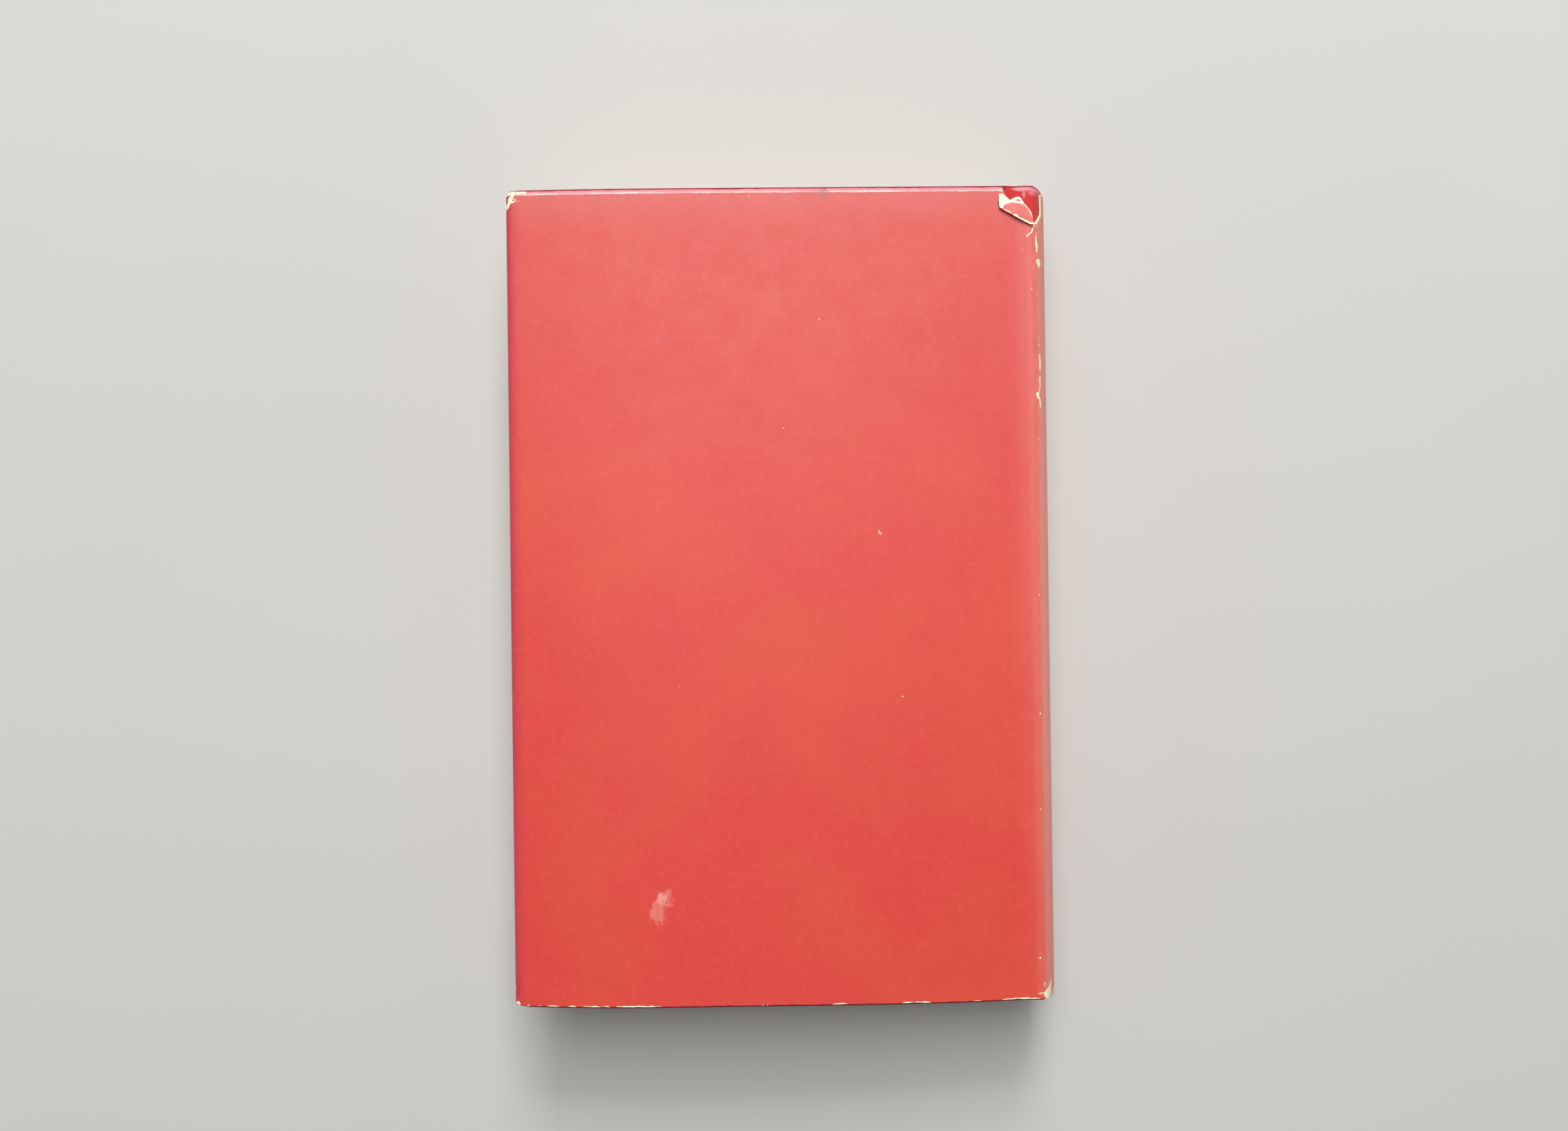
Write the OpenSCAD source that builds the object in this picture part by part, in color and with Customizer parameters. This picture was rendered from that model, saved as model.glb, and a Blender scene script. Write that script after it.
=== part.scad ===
// Hardback book in a plain paper dust jacket, lying on its front cover.
// +X is the spine, +Y the head, z = 0 the surface it lies on. Lengths are in mm.
// The rear cover is bowed: it stands off the pages most at the tail, near the fore-edge.
// Each cover turns in its groove, about a line 0.4 mm outside the jacket at split_x.

/* [Pages] */
// Height of a page, head to tail
page_h = 209; // [120:1:290]
// Thickness of the pressed pages
block_t = 22; // [14:0.5:40]
// How far the rounded back swells at the shoulders, each side
shoulder_rise = 2.75; // [2:0.05:3]
// Thickness of an endpaper
paper_t = 0.2; // [0.1:0.05:0.3]

/* [Case] */
// Width of a board, joint to fore-edge
board_w = 131.7; // [100:0.1:180]
// Thickness of a board
board_t = 2.5; // [2:0.1:3]
// How far the boards stand past the pages
overhang = 3.2; // [2:0.1:5]
// Thickness of the case cloth
cloth_t = 0.3; // [0.2:0.05:0.35]
// Width of the cloth turned in round the boards
turn_in = 15; // [9:0.5:22]
// Distance from a board to the spine crease of the jacket
joint_w = 7.8; // [7:0.1:10]
// Thickness of the card that stiffens the spine
inlay_t = 0.6; // [0.4:0.1:0.9]
// Hollow between the spine card and the lining of the pages
hollow_t = 1; // [0.8:0.1:1.6]

/* [Lining of the spine] */
// Thickness of the open-weave mull
mull_t = 0.2; // [0.1:0.05:0.3]
// How far the mull stops short of the page ends
mull_inset = 6; // [3:0.5:12]
// Thickness of the kraft lining and of the band tapes
liner_t = 0.2; // [0.1:0.05:0.3]
// Length of the tape that glues each band on
band_tape = 12; // [8:0.5:20]
// Radius of the bead of each band
bead_r = 0.9; // [0.5:0.1:1.2]

/* [Jacket] */
// Thickness of the jacket paper
jacket_t = 0.2; // [0.15:0.05:0.25]
// Width of the jacket flaps inside the covers
flap_w = 85; // [60:1:95]
// How far the jacket stops short of the case, head and tail
jacket_short = 0.5; // [0.4:0.1:2]
// Outer radius of the jacket's soft fold round the fore-edge
fold_r = 1.2; // [1:0.1:1.6]
// How far the spine swells past its creases
spine_round = 5; // [4:0.25:5.5]

/* [Wear] */
// Height of the bow of the rear cover along its tail edge
bow_tail = 4.7; // [0:0.1:8]
// Height of the bow of the rear cover along its head edge
bow_head = 0.9; // [0:0.1:4]
// Height that the torn jacket corner stands up at its free edge
torn_lift = 0.7; // [0.3:0.1:2]
// Depth lost from the head of the jacket's spine
spine_loss = 2.2; // [1:0.1:5]

/* [Hidden] */
$fn = 96;

// Air and glue between layers
air = 0.03;
glue = 0.03;
spine_air = 0.2;
bite = 1;

// Depth of each layer below the outside of a cover
cloth_d = jacket_t + air;
board_d = cloth_d + cloth_t + glue;
turn_d = board_d + board_t + glue;
paste_d = turn_d + cloth_t + glue;
flap_d = paste_d + paper_t + air;
free_d = flap_d + jacket_t + air;
cover_t = free_d + paper_t;

// Whole book
book_t = block_t + 2 * cover_t;
mid_z = book_t / 2;
board_h = page_h + 2 * overhang;
case_h = board_h + 2 * (glue + cloth_t);
jacket_h = case_h - 2 * jacket_short;
book_w = fold_r + cloth_t + glue + board_w + joint_w + spine_round;

// Places across the book, fore-edge to spine
fold_x = -book_w / 2;
cloth_x = fold_x + fold_r;
fore_x = cloth_x + cloth_t + glue;
page_x = fore_x + overhang;
turn_x = cloth_x + turn_in;
flap_x = fold_x + flap_w;
joint_x = fore_x + board_w;
groove_run = 1.8;
split_x = joint_x + groove_run;
crease_x = joint_x + joint_w;

// Rounded spine, as radii about one axis
jacket_r = (pow(mid_z, 2) + pow(spine_round, 2)) / (2 * spine_round);
spine_x = book_w / 2 - jacket_r;
case_r = jacket_r - jacket_t - spine_air;
inlay_r = case_r - cloth_t;
lining_r = inlay_r - inlay_t - hollow_t;
liner_r = lining_r - liner_t;
mull_r = liner_r - glue;
block_r = mull_r - mull_t;

// Shoulder that each face of the block flares up to
flare_gap = 0.3;
flare_x = joint_x + flare_gap;
tip_x = spine_x + sqrt(pow(block_r, 2) - pow(block_t / 2 + shoulder_rise, 2));
flare_steps = 10;
hinge_lift = 2 * paper_t;
case_lift = hinge_lift + mull_t;
inlay_reach = block_t / 2 + shoulder_rise - 0.8;
lining_reach = block_t / 2 + 0.5;
tape_reach = lining_reach - 0.5;

// Bow of the rear cover: where it peaks across the board, and its fall past the peak
bow_peak = 0.73;
bow_fall = 0.36;
bow_cells = [17, 6];
turn_y = case_h / 2 - turn_in;

// Torn jacket corner at the head of the spine, measured from the crease and the case's head.
// The tongue is hinged at the first of its points and stays on the spine's side of the groove.
torn_edge = [[-8.6, 0.6], [-8.2, -0.6], [-6.2, -3.7], [-4.0, -2.9], [-3.4, -3.2], [-1.4, -5.4],
    [-0.2, -7.6], [0.3, -10.0], [1.4, -8.0], [1.6, -5.8], [1.3, -2.7], [2.5, 1]];
tongue = [[-4.0, -2.9], [-1.4, -5.4], [-0.3, -9.0], [-0.9, -10.1], [-2.2, -9.4], [-4.7, -8.1],
    [-5.9, -7.4], [-5.9, -3.6]];
tongue_turn = 45;
tongue_w = 5;

function span(a, b, n) = [for (i = [0 : n - 1]) a + (b - a) * i / n];

// Marks in order, with the stations that lie between them
function mixed(marks, stations) = [
    for (i = [0 : len(marks) - 1]) each concat(
        [marks[i]],
        i == len(marks) - 1 ? [] : [for (s = stations) if (s > marks[i] + 0.05 && s < marks[i + 1] - 0.05) s]
    )
];
function within(stations, a, b) = mixed([a, b], stations);
function mirrored(list) = concat([for (i = [len(list) - 1 : -1 : 0]) -list[i]], list);
function backwards(list) = [for (i = [len(list) - 1 : -1 : 0]) list[i]];

// Height of the block's upper face, and of layers that follow it up the shoulder
function flare(x) = pow(max(0, min(1, (x - flare_x) / (tip_x - flare_x))), 2);
function face_z(x) = mid_z + block_t / 2 + shoulder_rise * flare(x);

// Where a sheet at this lift over the face meets the circle of radius r round the spine
function rim_x(r, z) = spine_x + sqrt(pow(r, 2) - pow(z - mid_z, 2));
function meet_x(r, lift, x = tip_x, n = 8) =
    n == 0 ? x : meet_x(r, lift, (x + rim_x(r, face_z(x) + lift)) / 2, n - 1);

// Bow of the rear cover, straight between stations that all its layers share
function bow_share(u) =
    u < bow_peak ? 1 - pow((u - bow_peak) / bow_peak, 2) : 1 - pow((u - bow_peak) / bow_fall, 2);
bow_xs = concat(span(fore_x, joint_x, bow_cells[0]), [joint_x]);
bow_ys = concat(span(-page_h / 2, page_h / 2, bow_cells[1]), [page_h / 2]);
bow_line = [for (x = bow_xs) [x, bow_share((joint_x - x) / board_w)]];
function bow(x, y) = (bow_head + (bow_tail - bow_head) * (0.5 - y / case_h)) * lookup(x, bow_line);

// Draws its children, an XZ section, from y0 to y1
module along_y(y0, y1) {
    translate([0, y1, 0]) rotate([90, 0, 0]) linear_extrude(y1 - y0) children();
}

// A strip of the rear cover between two matched lines of [x, z], swept from y0 to y1 and bowed
module bowed(outer, inner, y0, y1) {
    ys = within(bow_ys, y0, y1);
    ring = concat(outer, backwards(inner));
    m = len(ring);
    k = len(outer);
    last = (len(ys) - 1) * m;
    points = [for (y = ys, p = ring) [p[0], y, p[1] + bow(p[0], y)]];
    sides = [for (j = [0 : len(ys) - 2], i = [0 : m - 1])
        let (a = j * m + i, b = j * m + (i + 1) % m, c = b + m, d = a + m)
        each (ring[(i + 1) % m][0] > ring[i][0] ? [[a, b, c], [a, c, d]] : [[a, b, d], [b, c, d]])];
    tail = [for (i = [0 : k - 2]) each [[i, m - 2 - i, i + 1], [i, m - 1 - i, m - 2 - i]]];
    head = [for (f = tail) [f[0] + last, f[2] + last, f[1] + last]];
    polyhedron(points, concat(sides, tail, head), convexity = 6);
}

// A flat strip with the same arguments
module flat(outer, inner, y0, y1) {
    along_y(y0, y1) polygon(concat(outer, backwards(inner)));
}

module strip(bent, outer, inner, y0, y1) {
    if (bent)
        bowed(outer, inner, y0, y1);
    else
        flat(outer, inner, y0, y1);
}

// A level layer of a cover from x0 to x1, between two depths below its outside
module layer(bent, x0, x1, d0, d1, y1) {
    xs = bent ? within(bow_xs, x0, x1) : [x0, x1];
    strip(bent, [for (x = xs) [x, book_t - d0]], [for (x = xs) [x, book_t - d1]], -y1, y1);
}

// A folded sheet of the rear cover, made of the cells of a grid that the function filled picks.
// Each level is a function that gives the height of the sheet's surface at x.
module cells(bent, xs, ys, levels, filled) {
    nx = len(xs);
    ny = len(ys);
    nz = len(levels);
    points = [for (level = levels, y = ys, x = xs) [x, y, level(x) + (bent ? bow(x, y) : 0)]];
    function corner(i, j, k) = (k * ny + j) * nx + i;
    function held(i, j, k) =
        i >= 0 && j >= 0 && k >= 0 && i < nx - 1 && j < ny - 1 && k < nz - 1
        && filled((xs[i] + xs[i + 1]) / 2, abs(ys[j] + ys[j + 1]) / 2, k);
    function wall(i, j, k, u, v) =
        let (a = corner(i, j, k), b = a + u, c = a + u + v, d = a + v) [[a, b, c], [a, c, d]];
    function flip(faces) = [for (f = faces) [f[0], f[2], f[1]]];
    along = 1;
    up = nx;
    down = nx * ny;
    polyhedron(points, [
        for (i = [0 : nx - 1], j = [0 : ny - 1], k = [0 : nz - 1])
            let (here = held(i, j, k))
            let (left = held(i - 1, j, k), below = held(i, j - 1, k), over = held(i, j, k - 1))
            each concat(
                here == left ? [] : here ? wall(i, j, k, up, down) : flip(wall(i, j, k, up, down)),
                here == below ? [] : here ? wall(i, j, k, down, along) : flip(wall(i, j, k, down, along)),
                here == over ? [] : here ? wall(i, j, k, along, up) : flip(wall(i, j, k, along, up))
            )
    ], convexity = 6);
}

// A level surface so far below the outside of the rear cover
function at_depth(d) = function (x) book_t - d;

// Children on the rear side, carried over to the front
module to_front() {
    translate([0, 0, book_t]) mirror([0, 0, 1]) children();
}

// Section of a sheet that follows the block's faces from x0 to x1
module face_sheets(x0, x1, lift, t) {
    flare_xs = span(flare_x, tip_x, flare_steps);
    xs = within(concat(flare_xs, [tip_x]), x0, x1);
    lower = [for (x = xs) [x, face_z(x) + lift]];
    upper = [for (x = backwards(xs)) [x, face_z(x) + lift + t]];
    for (side = [0, 1])
        translate([0, side * book_t]) mirror([0, side]) polygon(concat(lower, upper));
}

// Section of a curved sheet round the spine, reaching so far above and below the middle
module spine_band(r0, r1, reach) {
    intersection() {
        translate([spine_x, mid_z]) difference() {
            circle(r1);
            circle(r0);
        }
        translate([spine_x, mid_z - reach]) square([r1 + bite, 2 * reach]);
    }
}

// A sheet round the spine that also runs over both shoulders down to the joint
module lapped_sheet(r0, r1, lift, t, y1) {
    along_y(-y1, y1) spine_band(r0, r1, face_z(meet_x((r0 + r1) / 2, lift + t / 2)) + lift + t / 2 - mid_z);
    along_y(-y1, y1) intersection() {
        face_sheets(split_x, spine_x + r1, lift, t);
        translate([spine_x, mid_z]) circle(r1);
    }
}

module text_block() {
    fore_r = sqrt(pow(block_r, 2) - pow(block_t / 2, 2));
    color("ivory") along_y(-page_h / 2, page_h / 2) difference() {
        intersection() {
            union() {
                translate([page_x, mid_z - block_t / 2]) square([flare_x - page_x, block_t]);
                xs = concat(span(flare_x, tip_x, flare_steps), [tip_x, spine_x + block_r]);
                polygon(concat(
                    [for (x = xs) [x, book_t - face_z(x)]], [for (x = backwards(xs)) [x, face_z(x)]]
                ));
            }
            union() {
                translate([page_x, 0]) square([spine_x - page_x, book_t]);
                translate([spine_x, mid_z]) circle(block_r);
            }
        }
        translate([page_x - fore_r, mid_z]) circle(block_r);
    }
}

module spine_mull() {
    color("oldlace") lapped_sheet(block_r, mull_r, hinge_lift, mull_t, page_h / 2 - mull_inset);
}

module spine_liner() {
    color("burlywood") along_y(-page_h / 2 + band_tape, page_h / 2 - band_tape)
        spine_band(liner_r, lining_r, lining_reach);
}

// A band at the head: a bead on the page ends and the tape that holds it
module end_band() {
    bead_turn = asin(tape_reach / block_r);
    color("crimson") {
        along_y(page_h / 2 - band_tape, page_h / 2 + bead_r) spine_band(liner_r, lining_r, tape_reach);
        translate([spine_x, page_h / 2 + bead_r, mid_z]) rotate([90, 0, 0]) rotate([0, 0, -bead_turn])
            rotate_extrude(angle = 2 * bead_turn) translate([block_r, 0]) circle(bead_r);
    }
}

module headband() {
    end_band();
}

module tailband() {
    mirror([0, 1, 0]) end_band();
}

module spine_inlay() {
    color("tan") along_y(-board_h / 2, board_h / 2) spine_band(inlay_r - inlay_t, inlay_r, inlay_reach);
}

module spine_cloth() {
    turned_r = inlay_r - inlay_t - cloth_t;
    color("firebrick") {
        lapped_sheet(inlay_r, case_r, case_lift, cloth_t, case_h / 2);
        for (end = [0, 1]) mirror([0, end, 0]) {
            along_y(board_h / 2, case_h / 2) spine_band(turned_r, case_r, inlay_reach);
            along_y(turn_y, case_h / 2) spine_band(turned_r, turned_r + cloth_t, inlay_reach);
        }
    }
}

// A free endpaper and, past the joint, the half of it that turns back towards the board
module rear_free_endpaper() {
    color("cornsilk") along_y(-page_h / 2, page_h / 2) intersection() {
        union() {
            face_sheets(page_x, tip_x + bite, 0, paper_t);
            face_sheets(split_x, tip_x + bite, 0, hinge_lift);
        }
        translate([page_x, mid_z]) square([book_w, book_t]);
        union() {
            translate([page_x, 0]) square([spine_x - page_x, book_t]);
            translate([spine_x, mid_z]) circle(block_r);
        }
    }
}

module front_free_endpaper() {
    to_front() rear_free_endpaper();
}

// What the torn corner takes away from the jacket
module torn_away() {
    translate([crease_x, case_h / 2, mid_z]) linear_extrude(book_t) polygon(torn_edge);
}

// A torn tongue of the jacket that stands up from the torn edge
module torn_tongue() {
    root = tongue[0];
    lean = atan(torn_lift / tongue_w);
    translate([crease_x + root[0], case_h / 2 + root[1], book_t - jacket_t])
        rotate([0, 0, tongue_turn]) rotate([0, lean, 0]) rotate([0, 0, -tongue_turn])
            translate(-root) linear_extrude(jacket_t) polygon(tongue);
}

// Jacket round the spine, from groove to groove
module jacket_spine() {
    color("salmon") {
        difference() {
            union() {
                along_y(-jacket_h / 2, jacket_h / 2) intersection() {
                    spine_band(jacket_r - jacket_t, jacket_r, mid_z);
                    translate([crease_x - jacket_t, 0]) square([spine_round + bite, book_t]);
                }
                for (z = [0, book_t - jacket_t])
                    translate([split_x, -jacket_h / 2, z]) cube([crease_x - split_x, jacket_h, jacket_t]);
            }
            torn_away();
            translate([crease_x - bite, jacket_h / 2 - spine_loss, mid_z - block_t / 4])
                cube([spine_round + 2 * bite, spine_loss + bite, book_t]);
        }
        torn_tongue();
    }
}

// Board of the rear cover
module board(bent) {
    color("darkkhaki") layer(bent, fore_x, joint_x, board_d, turn_d - glue, board_h / 2);
}

// Cloth wrapped round a board, turned in on three sides and pressed down into the joint
module cloth(bent) {
    board_end = joint_x + glue;
    wall_x = board_end + cloth_t;
    groove_z = face_z(split_x) + case_lift;
    marks = [cloth_x, fore_x - glue, turn_x, board_end, wall_x, split_x];
    xs = bent ? mixed(marks, bow_xs) : marks;
    rows = mirrored([turn_y, board_h / 2 + glue, case_h / 2]);
    color("firebrick") cells(
        bent, xs, bent ? mixed(rows, bow_ys) : rows,
        [
            at_depth(cloth_d),
            at_depth(cloth_d + cloth_t),
            function (x) x > board_end ? groove_z + cloth_t : book_t - turn_d,
            function (x) x > board_end ? groove_z : book_t - turn_d - cloth_t
        ],
        function (x, y, k)
            k == 0 ? x < wall_x
            : k == 1 ? (x < fore_x || x > board_end || y > board_h / 2) && x < wall_x
            : x < turn_x || x > board_end || y > turn_y
    );
}

// Pastedown: it lies on the turned-in cloth and sinks to the board inside it
module pastedown(bent) {
    sunk = [turn_x + glue, joint_x - glue, turn_y - glue];
    dent = [sunk[0] + paper_t, sunk[1] - paper_t, sunk[2] - paper_t];
    marks = [page_x, sunk[0], dent[0], dent[1], sunk[1], split_x];
    xs = bent ? mixed(marks, bow_xs) : marks;
    rows = mirrored([dent[2], sunk[2], page_h / 2]);
    function inside(x, y, box) = x > box[0] && x < box[1] && y < box[2];
    color("cornsilk") cells(
        bent, xs, bent ? mixed(rows, bow_ys) : rows,
        [at_depth(turn_d), at_depth(turn_d + paper_t), at_depth(paste_d), at_depth(paste_d + paper_t)],
        function (x, y, k)
            k == 0 ? inside(x, y, sunk)
            : k == 1 ? inside(x, y, sunk) && !inside(x, y, dent)
            : !inside(x, y, dent)
    );
}

// Jacket over a cover: the panel up to the groove, the soft fold round the fore-edge and the flap
module jacket(bent) {
    fold_steps = 5;
    panel = bent ? backwards(within(bow_xs, cloth_x, split_x)) : [split_x, cloth_x];
    tuck = bent ? within(bow_xs, cloth_x, flap_x) : [cloth_x, flap_x];
    low_z = book_t - flap_d - jacket_t;
    turn = [for (i = [1 : fold_steps]) 90 * i / fold_steps];
    function folded(r) = concat(
        [for (x = panel) [x, book_t - fold_r + r]],
        [for (a = turn) [cloth_x - r * sin(a), book_t - fold_r + r * cos(a)]],
        [for (a = turn) [cloth_x - r * cos(a), low_z + fold_r - r * sin(a)]],
        [for (i = [1 : len(tuck) - 1]) [tuck[i], low_z + fold_r - r]]
    );
    strip(bent, folded(fold_r), folded(fold_r - jacket_t), -jacket_h / 2, jacket_h / 2);
}

module back_board() {
    board(true);
}

module back_cloth() {
    cloth(true);
}

module rear_pastedown() {
    pastedown(true);
}

module jacket_back() {
    color("salmon") difference() {
        jacket(true);
        torn_away();
    }
}

module front_board() {
    to_front() board(false);
}

module front_cloth() {
    to_front() cloth(false);
}

module front_pastedown() {
    to_front() pastedown(false);
}

module jacket_front() {
    color("salmon") to_front() jacket(false);
}

text_block();
spine_mull();
spine_liner();
headband();
tailband();
spine_inlay();
spine_cloth();
front_free_endpaper();
rear_free_endpaper();
jacket_spine();
back_board();
back_cloth();
rear_pastedown();
jacket_back();
front_board();
front_cloth();
front_pastedown();
jacket_front();
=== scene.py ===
"""Hardback book in a worn, plain paper dust jacket, lying on its front cover.

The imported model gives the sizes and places. Lengths here are in millimetres and become metres where
a mesh is made. Each sheet that bends keeps its rest places in an attribute, so that its colour and
wear stay where they are when a cover opens.
"""
import itertools
import logging
import math
import random
from dataclasses import dataclass
from enum import Enum
from typing import Callable, Iterable, NamedTuple, Sequence

import bpy
import numpy as np
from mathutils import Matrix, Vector, noise
from mathutils.geometry import delaunay_2d_cdt


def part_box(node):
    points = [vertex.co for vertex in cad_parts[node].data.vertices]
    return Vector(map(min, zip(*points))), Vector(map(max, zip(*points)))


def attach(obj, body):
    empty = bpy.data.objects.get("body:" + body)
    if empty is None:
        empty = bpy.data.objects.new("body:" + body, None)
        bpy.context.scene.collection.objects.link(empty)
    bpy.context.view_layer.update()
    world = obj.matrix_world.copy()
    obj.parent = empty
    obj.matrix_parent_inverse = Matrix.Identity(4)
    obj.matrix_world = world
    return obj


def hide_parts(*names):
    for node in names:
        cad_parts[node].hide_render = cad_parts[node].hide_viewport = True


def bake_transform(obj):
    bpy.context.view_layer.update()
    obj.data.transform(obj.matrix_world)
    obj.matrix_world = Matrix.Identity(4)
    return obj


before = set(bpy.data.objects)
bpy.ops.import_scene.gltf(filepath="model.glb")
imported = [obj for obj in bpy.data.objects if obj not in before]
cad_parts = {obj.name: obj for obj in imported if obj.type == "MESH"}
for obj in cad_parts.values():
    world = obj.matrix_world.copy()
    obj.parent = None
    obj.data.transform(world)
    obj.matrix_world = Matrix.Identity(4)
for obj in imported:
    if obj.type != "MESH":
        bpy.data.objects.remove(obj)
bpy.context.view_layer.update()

LOG = logging.getLogger("book")
MM = 0.001
BLOCK = "book_block"
PLACE = "place"

Point = tuple[float, float]
Rgb = tuple[int, int, int]
Faces = list[tuple[int, ...]]
Spot = tuple[Point, Point, float]
Scale = tuple[float, float, float]
Heights = Callable[[np.ndarray, np.ndarray], np.ndarray]
Socket = bpy.types.NodeSocket


class Side(Enum):
    """A cover of the book, named by the body that it moves with."""

    REAR = "back_cover"
    FRONT = "front_cover"

    @property
    def word(self) -> str:
        """Word for this cover in the names of pieces."""
        return "rear" if self is Side.REAR else "front"

    @property
    def node(self) -> str:
        """Word for this cover in the names of the model's nodes."""
        return "back" if self is Side.REAR else "front"


@dataclass(frozen=True)
class BookSizes:
    """Sizes and places of the book, in mm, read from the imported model."""

    thickness: float
    fold_x: float
    cloth_x: float
    fore_x: float
    page_x: float
    joint_x: float
    split_x: float
    crease_x: float
    spine_x: float
    jacket_r: float
    block_r: float
    inlay_r: float
    jacket_y: float
    case_y: float
    page_y: float
    cloth_d: float
    turn_d: float
    paste_d: float
    flap_d: float
    face_z: float
    tip_z: float
    paper_t: float = 0.2
    cloth_t: float = 0.3

    @classmethod
    def from_frame(cls, spine_round: float = 5.0) -> "BookSizes":
        """Reads the sizes from the boxes of the model's nodes.

        Args:
            spine_round: How far the jacket's spine swells past its creases.

        Returns:
            The sizes in mm.
        """
        low: dict[str, Vector] = {}
        high: dict[str, Vector] = {}
        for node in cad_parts:
            low[node], high[node] = (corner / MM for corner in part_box(node))
        thickness = low["text_block"].z + high["text_block"].z
        jacket_r = ((thickness / 2) ** 2 + spine_round**2) / (2 * spine_round)
        spine_x = high["jacket_spine"].x - jacket_r
        return cls(
            thickness=thickness,
            fold_x=low["jacket_front"].x,
            cloth_x=low["front_cloth"].x,
            fore_x=low["front_board"].x,
            page_x=low["front_pastedown"].x,
            joint_x=high["front_board"].x,
            split_x=low["jacket_spine"].x,
            crease_x=high["jacket_spine"].x - spine_round,
            spine_x=spine_x,
            jacket_r=jacket_r,
            block_r=high["text_block"].x - spine_x,
            inlay_r=high["spine_inlay"].x - spine_x,
            jacket_y=high["jacket_front"].y,
            case_y=high["front_cloth"].y,
            page_y=high["front_pastedown"].y,
            cloth_d=low["front_cloth"].z,
            turn_d=low["front_pastedown"].z,
            paste_d=high["front_pastedown"].z,
            flap_d=high["jacket_front"].z,
            face_z=thickness - high["front_free_endpaper"].z,
            tip_z=high["text_block"].z,
        )

    @property
    def mid_z(self) -> float:
        """Height of the middle of the book."""
        return self.thickness / 2

    @property
    def flare_x(self) -> float:
        """Where the faces of the pages begin to swell up to the shoulders."""
        return self.joint_x + 0.3

    @property
    def tip_x(self) -> float:
        """Where a shoulder of the pages meets the rounded back."""
        return self.spine_x + math.sqrt(self.block_r**2 - (self.tip_z - self.mid_z) ** 2)

    def flare(self, x: np.ndarray) -> np.ndarray:
        """Share of the shoulder's rise at x."""
        return np.clip((x - self.flare_x) / (self.tip_x - self.flare_x), 0, 1) ** 2

    def page_face(self, x: np.ndarray) -> np.ndarray:
        """Height of the upper face of the pages at x."""
        return self.face_z + (self.tip_z - self.face_z) * self.flare(x)


@dataclass(frozen=True)
class CoverBow:
    """How far the rear cover stands off the pages and how far it is out of square, in mm."""

    head: float = 0.9
    tail: float = 4.7
    peak: float = 0.73
    fall: float = 0.36
    skew_head: float = 0.4
    skew_tail: float = 0.95

    def lift(self, sizes: BookSizes, x: np.ndarray, y: np.ndarray) -> np.ndarray:
        """Height of the bow.

        Args:
            sizes: The book's sizes.
            x: Places across the book.
            y: Places along it.

        Returns:
            The lift at each place, 0 past the joint.
        """
        u = np.clip((sizes.joint_x - x) / (sizes.joint_x - sizes.fore_x), 0, 1)
        share = 1 - ((u - self.peak) / np.where(u < self.peak, self.peak, self.fall)) ** 2
        return (self.head + (self.tail - self.head) * (0.5 - y / (2 * sizes.case_y))) * share

    def slip(self, sizes: BookSizes, x: np.ndarray, y: np.ndarray, side: Side) -> np.ndarray:
        """Shift along the book that sets a cover out of square.

        Args:
            sizes: The book's sizes.
            x: Places across the cover and on round the spine.
            y: Places along it.
            side: The cover; the front one is only drawn along with the spine.

        Returns:
            The shift at each place.
        """
        mid_spine = sizes.crease_x + 16
        headward, tailward = np.maximum(y / sizes.case_y, 0), np.minimum(y / sizes.case_y, 0)
        if side is Side.FRONT:
            return self.skew_tail * smooth(sizes.crease_x, mid_spine, x) * tailward
        return (self.skew_head * (1 - smooth(-60, 50, x)) * headward
                + self.skew_tail * smooth(-25, 57, x) * tailward)


def smooth(low: float, high: float, value: np.ndarray) -> np.ndarray:
    """0 below low, 1 above high and an even S curve between them."""
    t = np.clip((value - low) / (high - low), 0, 1)
    return t * t * (3 - 2 * t)


def ripple(x: np.ndarray, y: np.ndarray, size: float, seed: float = 0.0) -> np.ndarray:
    """Soft noise from about -1 to 1 over two arrays of places.

    Args:
        x: Places across.
        y: Places along.
        size: Size of the ripples, in the same unit.
        seed: Offset that gives another pattern.

    Returns:
        The noise at each place.
    """
    pairs = zip(np.ravel(x), np.ravel(y))
    flat = [noise.noise(Vector((a / size, b / size, seed))) for a, b in pairs]
    return np.array(flat).reshape(np.shape(x))


def stations(*marks: tuple[float, float]) -> np.ndarray:
    """Places in rising order, at even steps within each stretch.

    Args:
        marks: Start and spacing of each stretch. The last pair's start is the end.

    Returns:
        The places.
    """
    found: list[float] = []
    for (start, gap), (end, _) in zip(marks, marks[1:]):
        count = max(1, round((end - start) / gap))
        found.extend(np.linspace(start, end, count, endpoint=False))
    return np.array(found + [marks[-1][0]])


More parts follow.
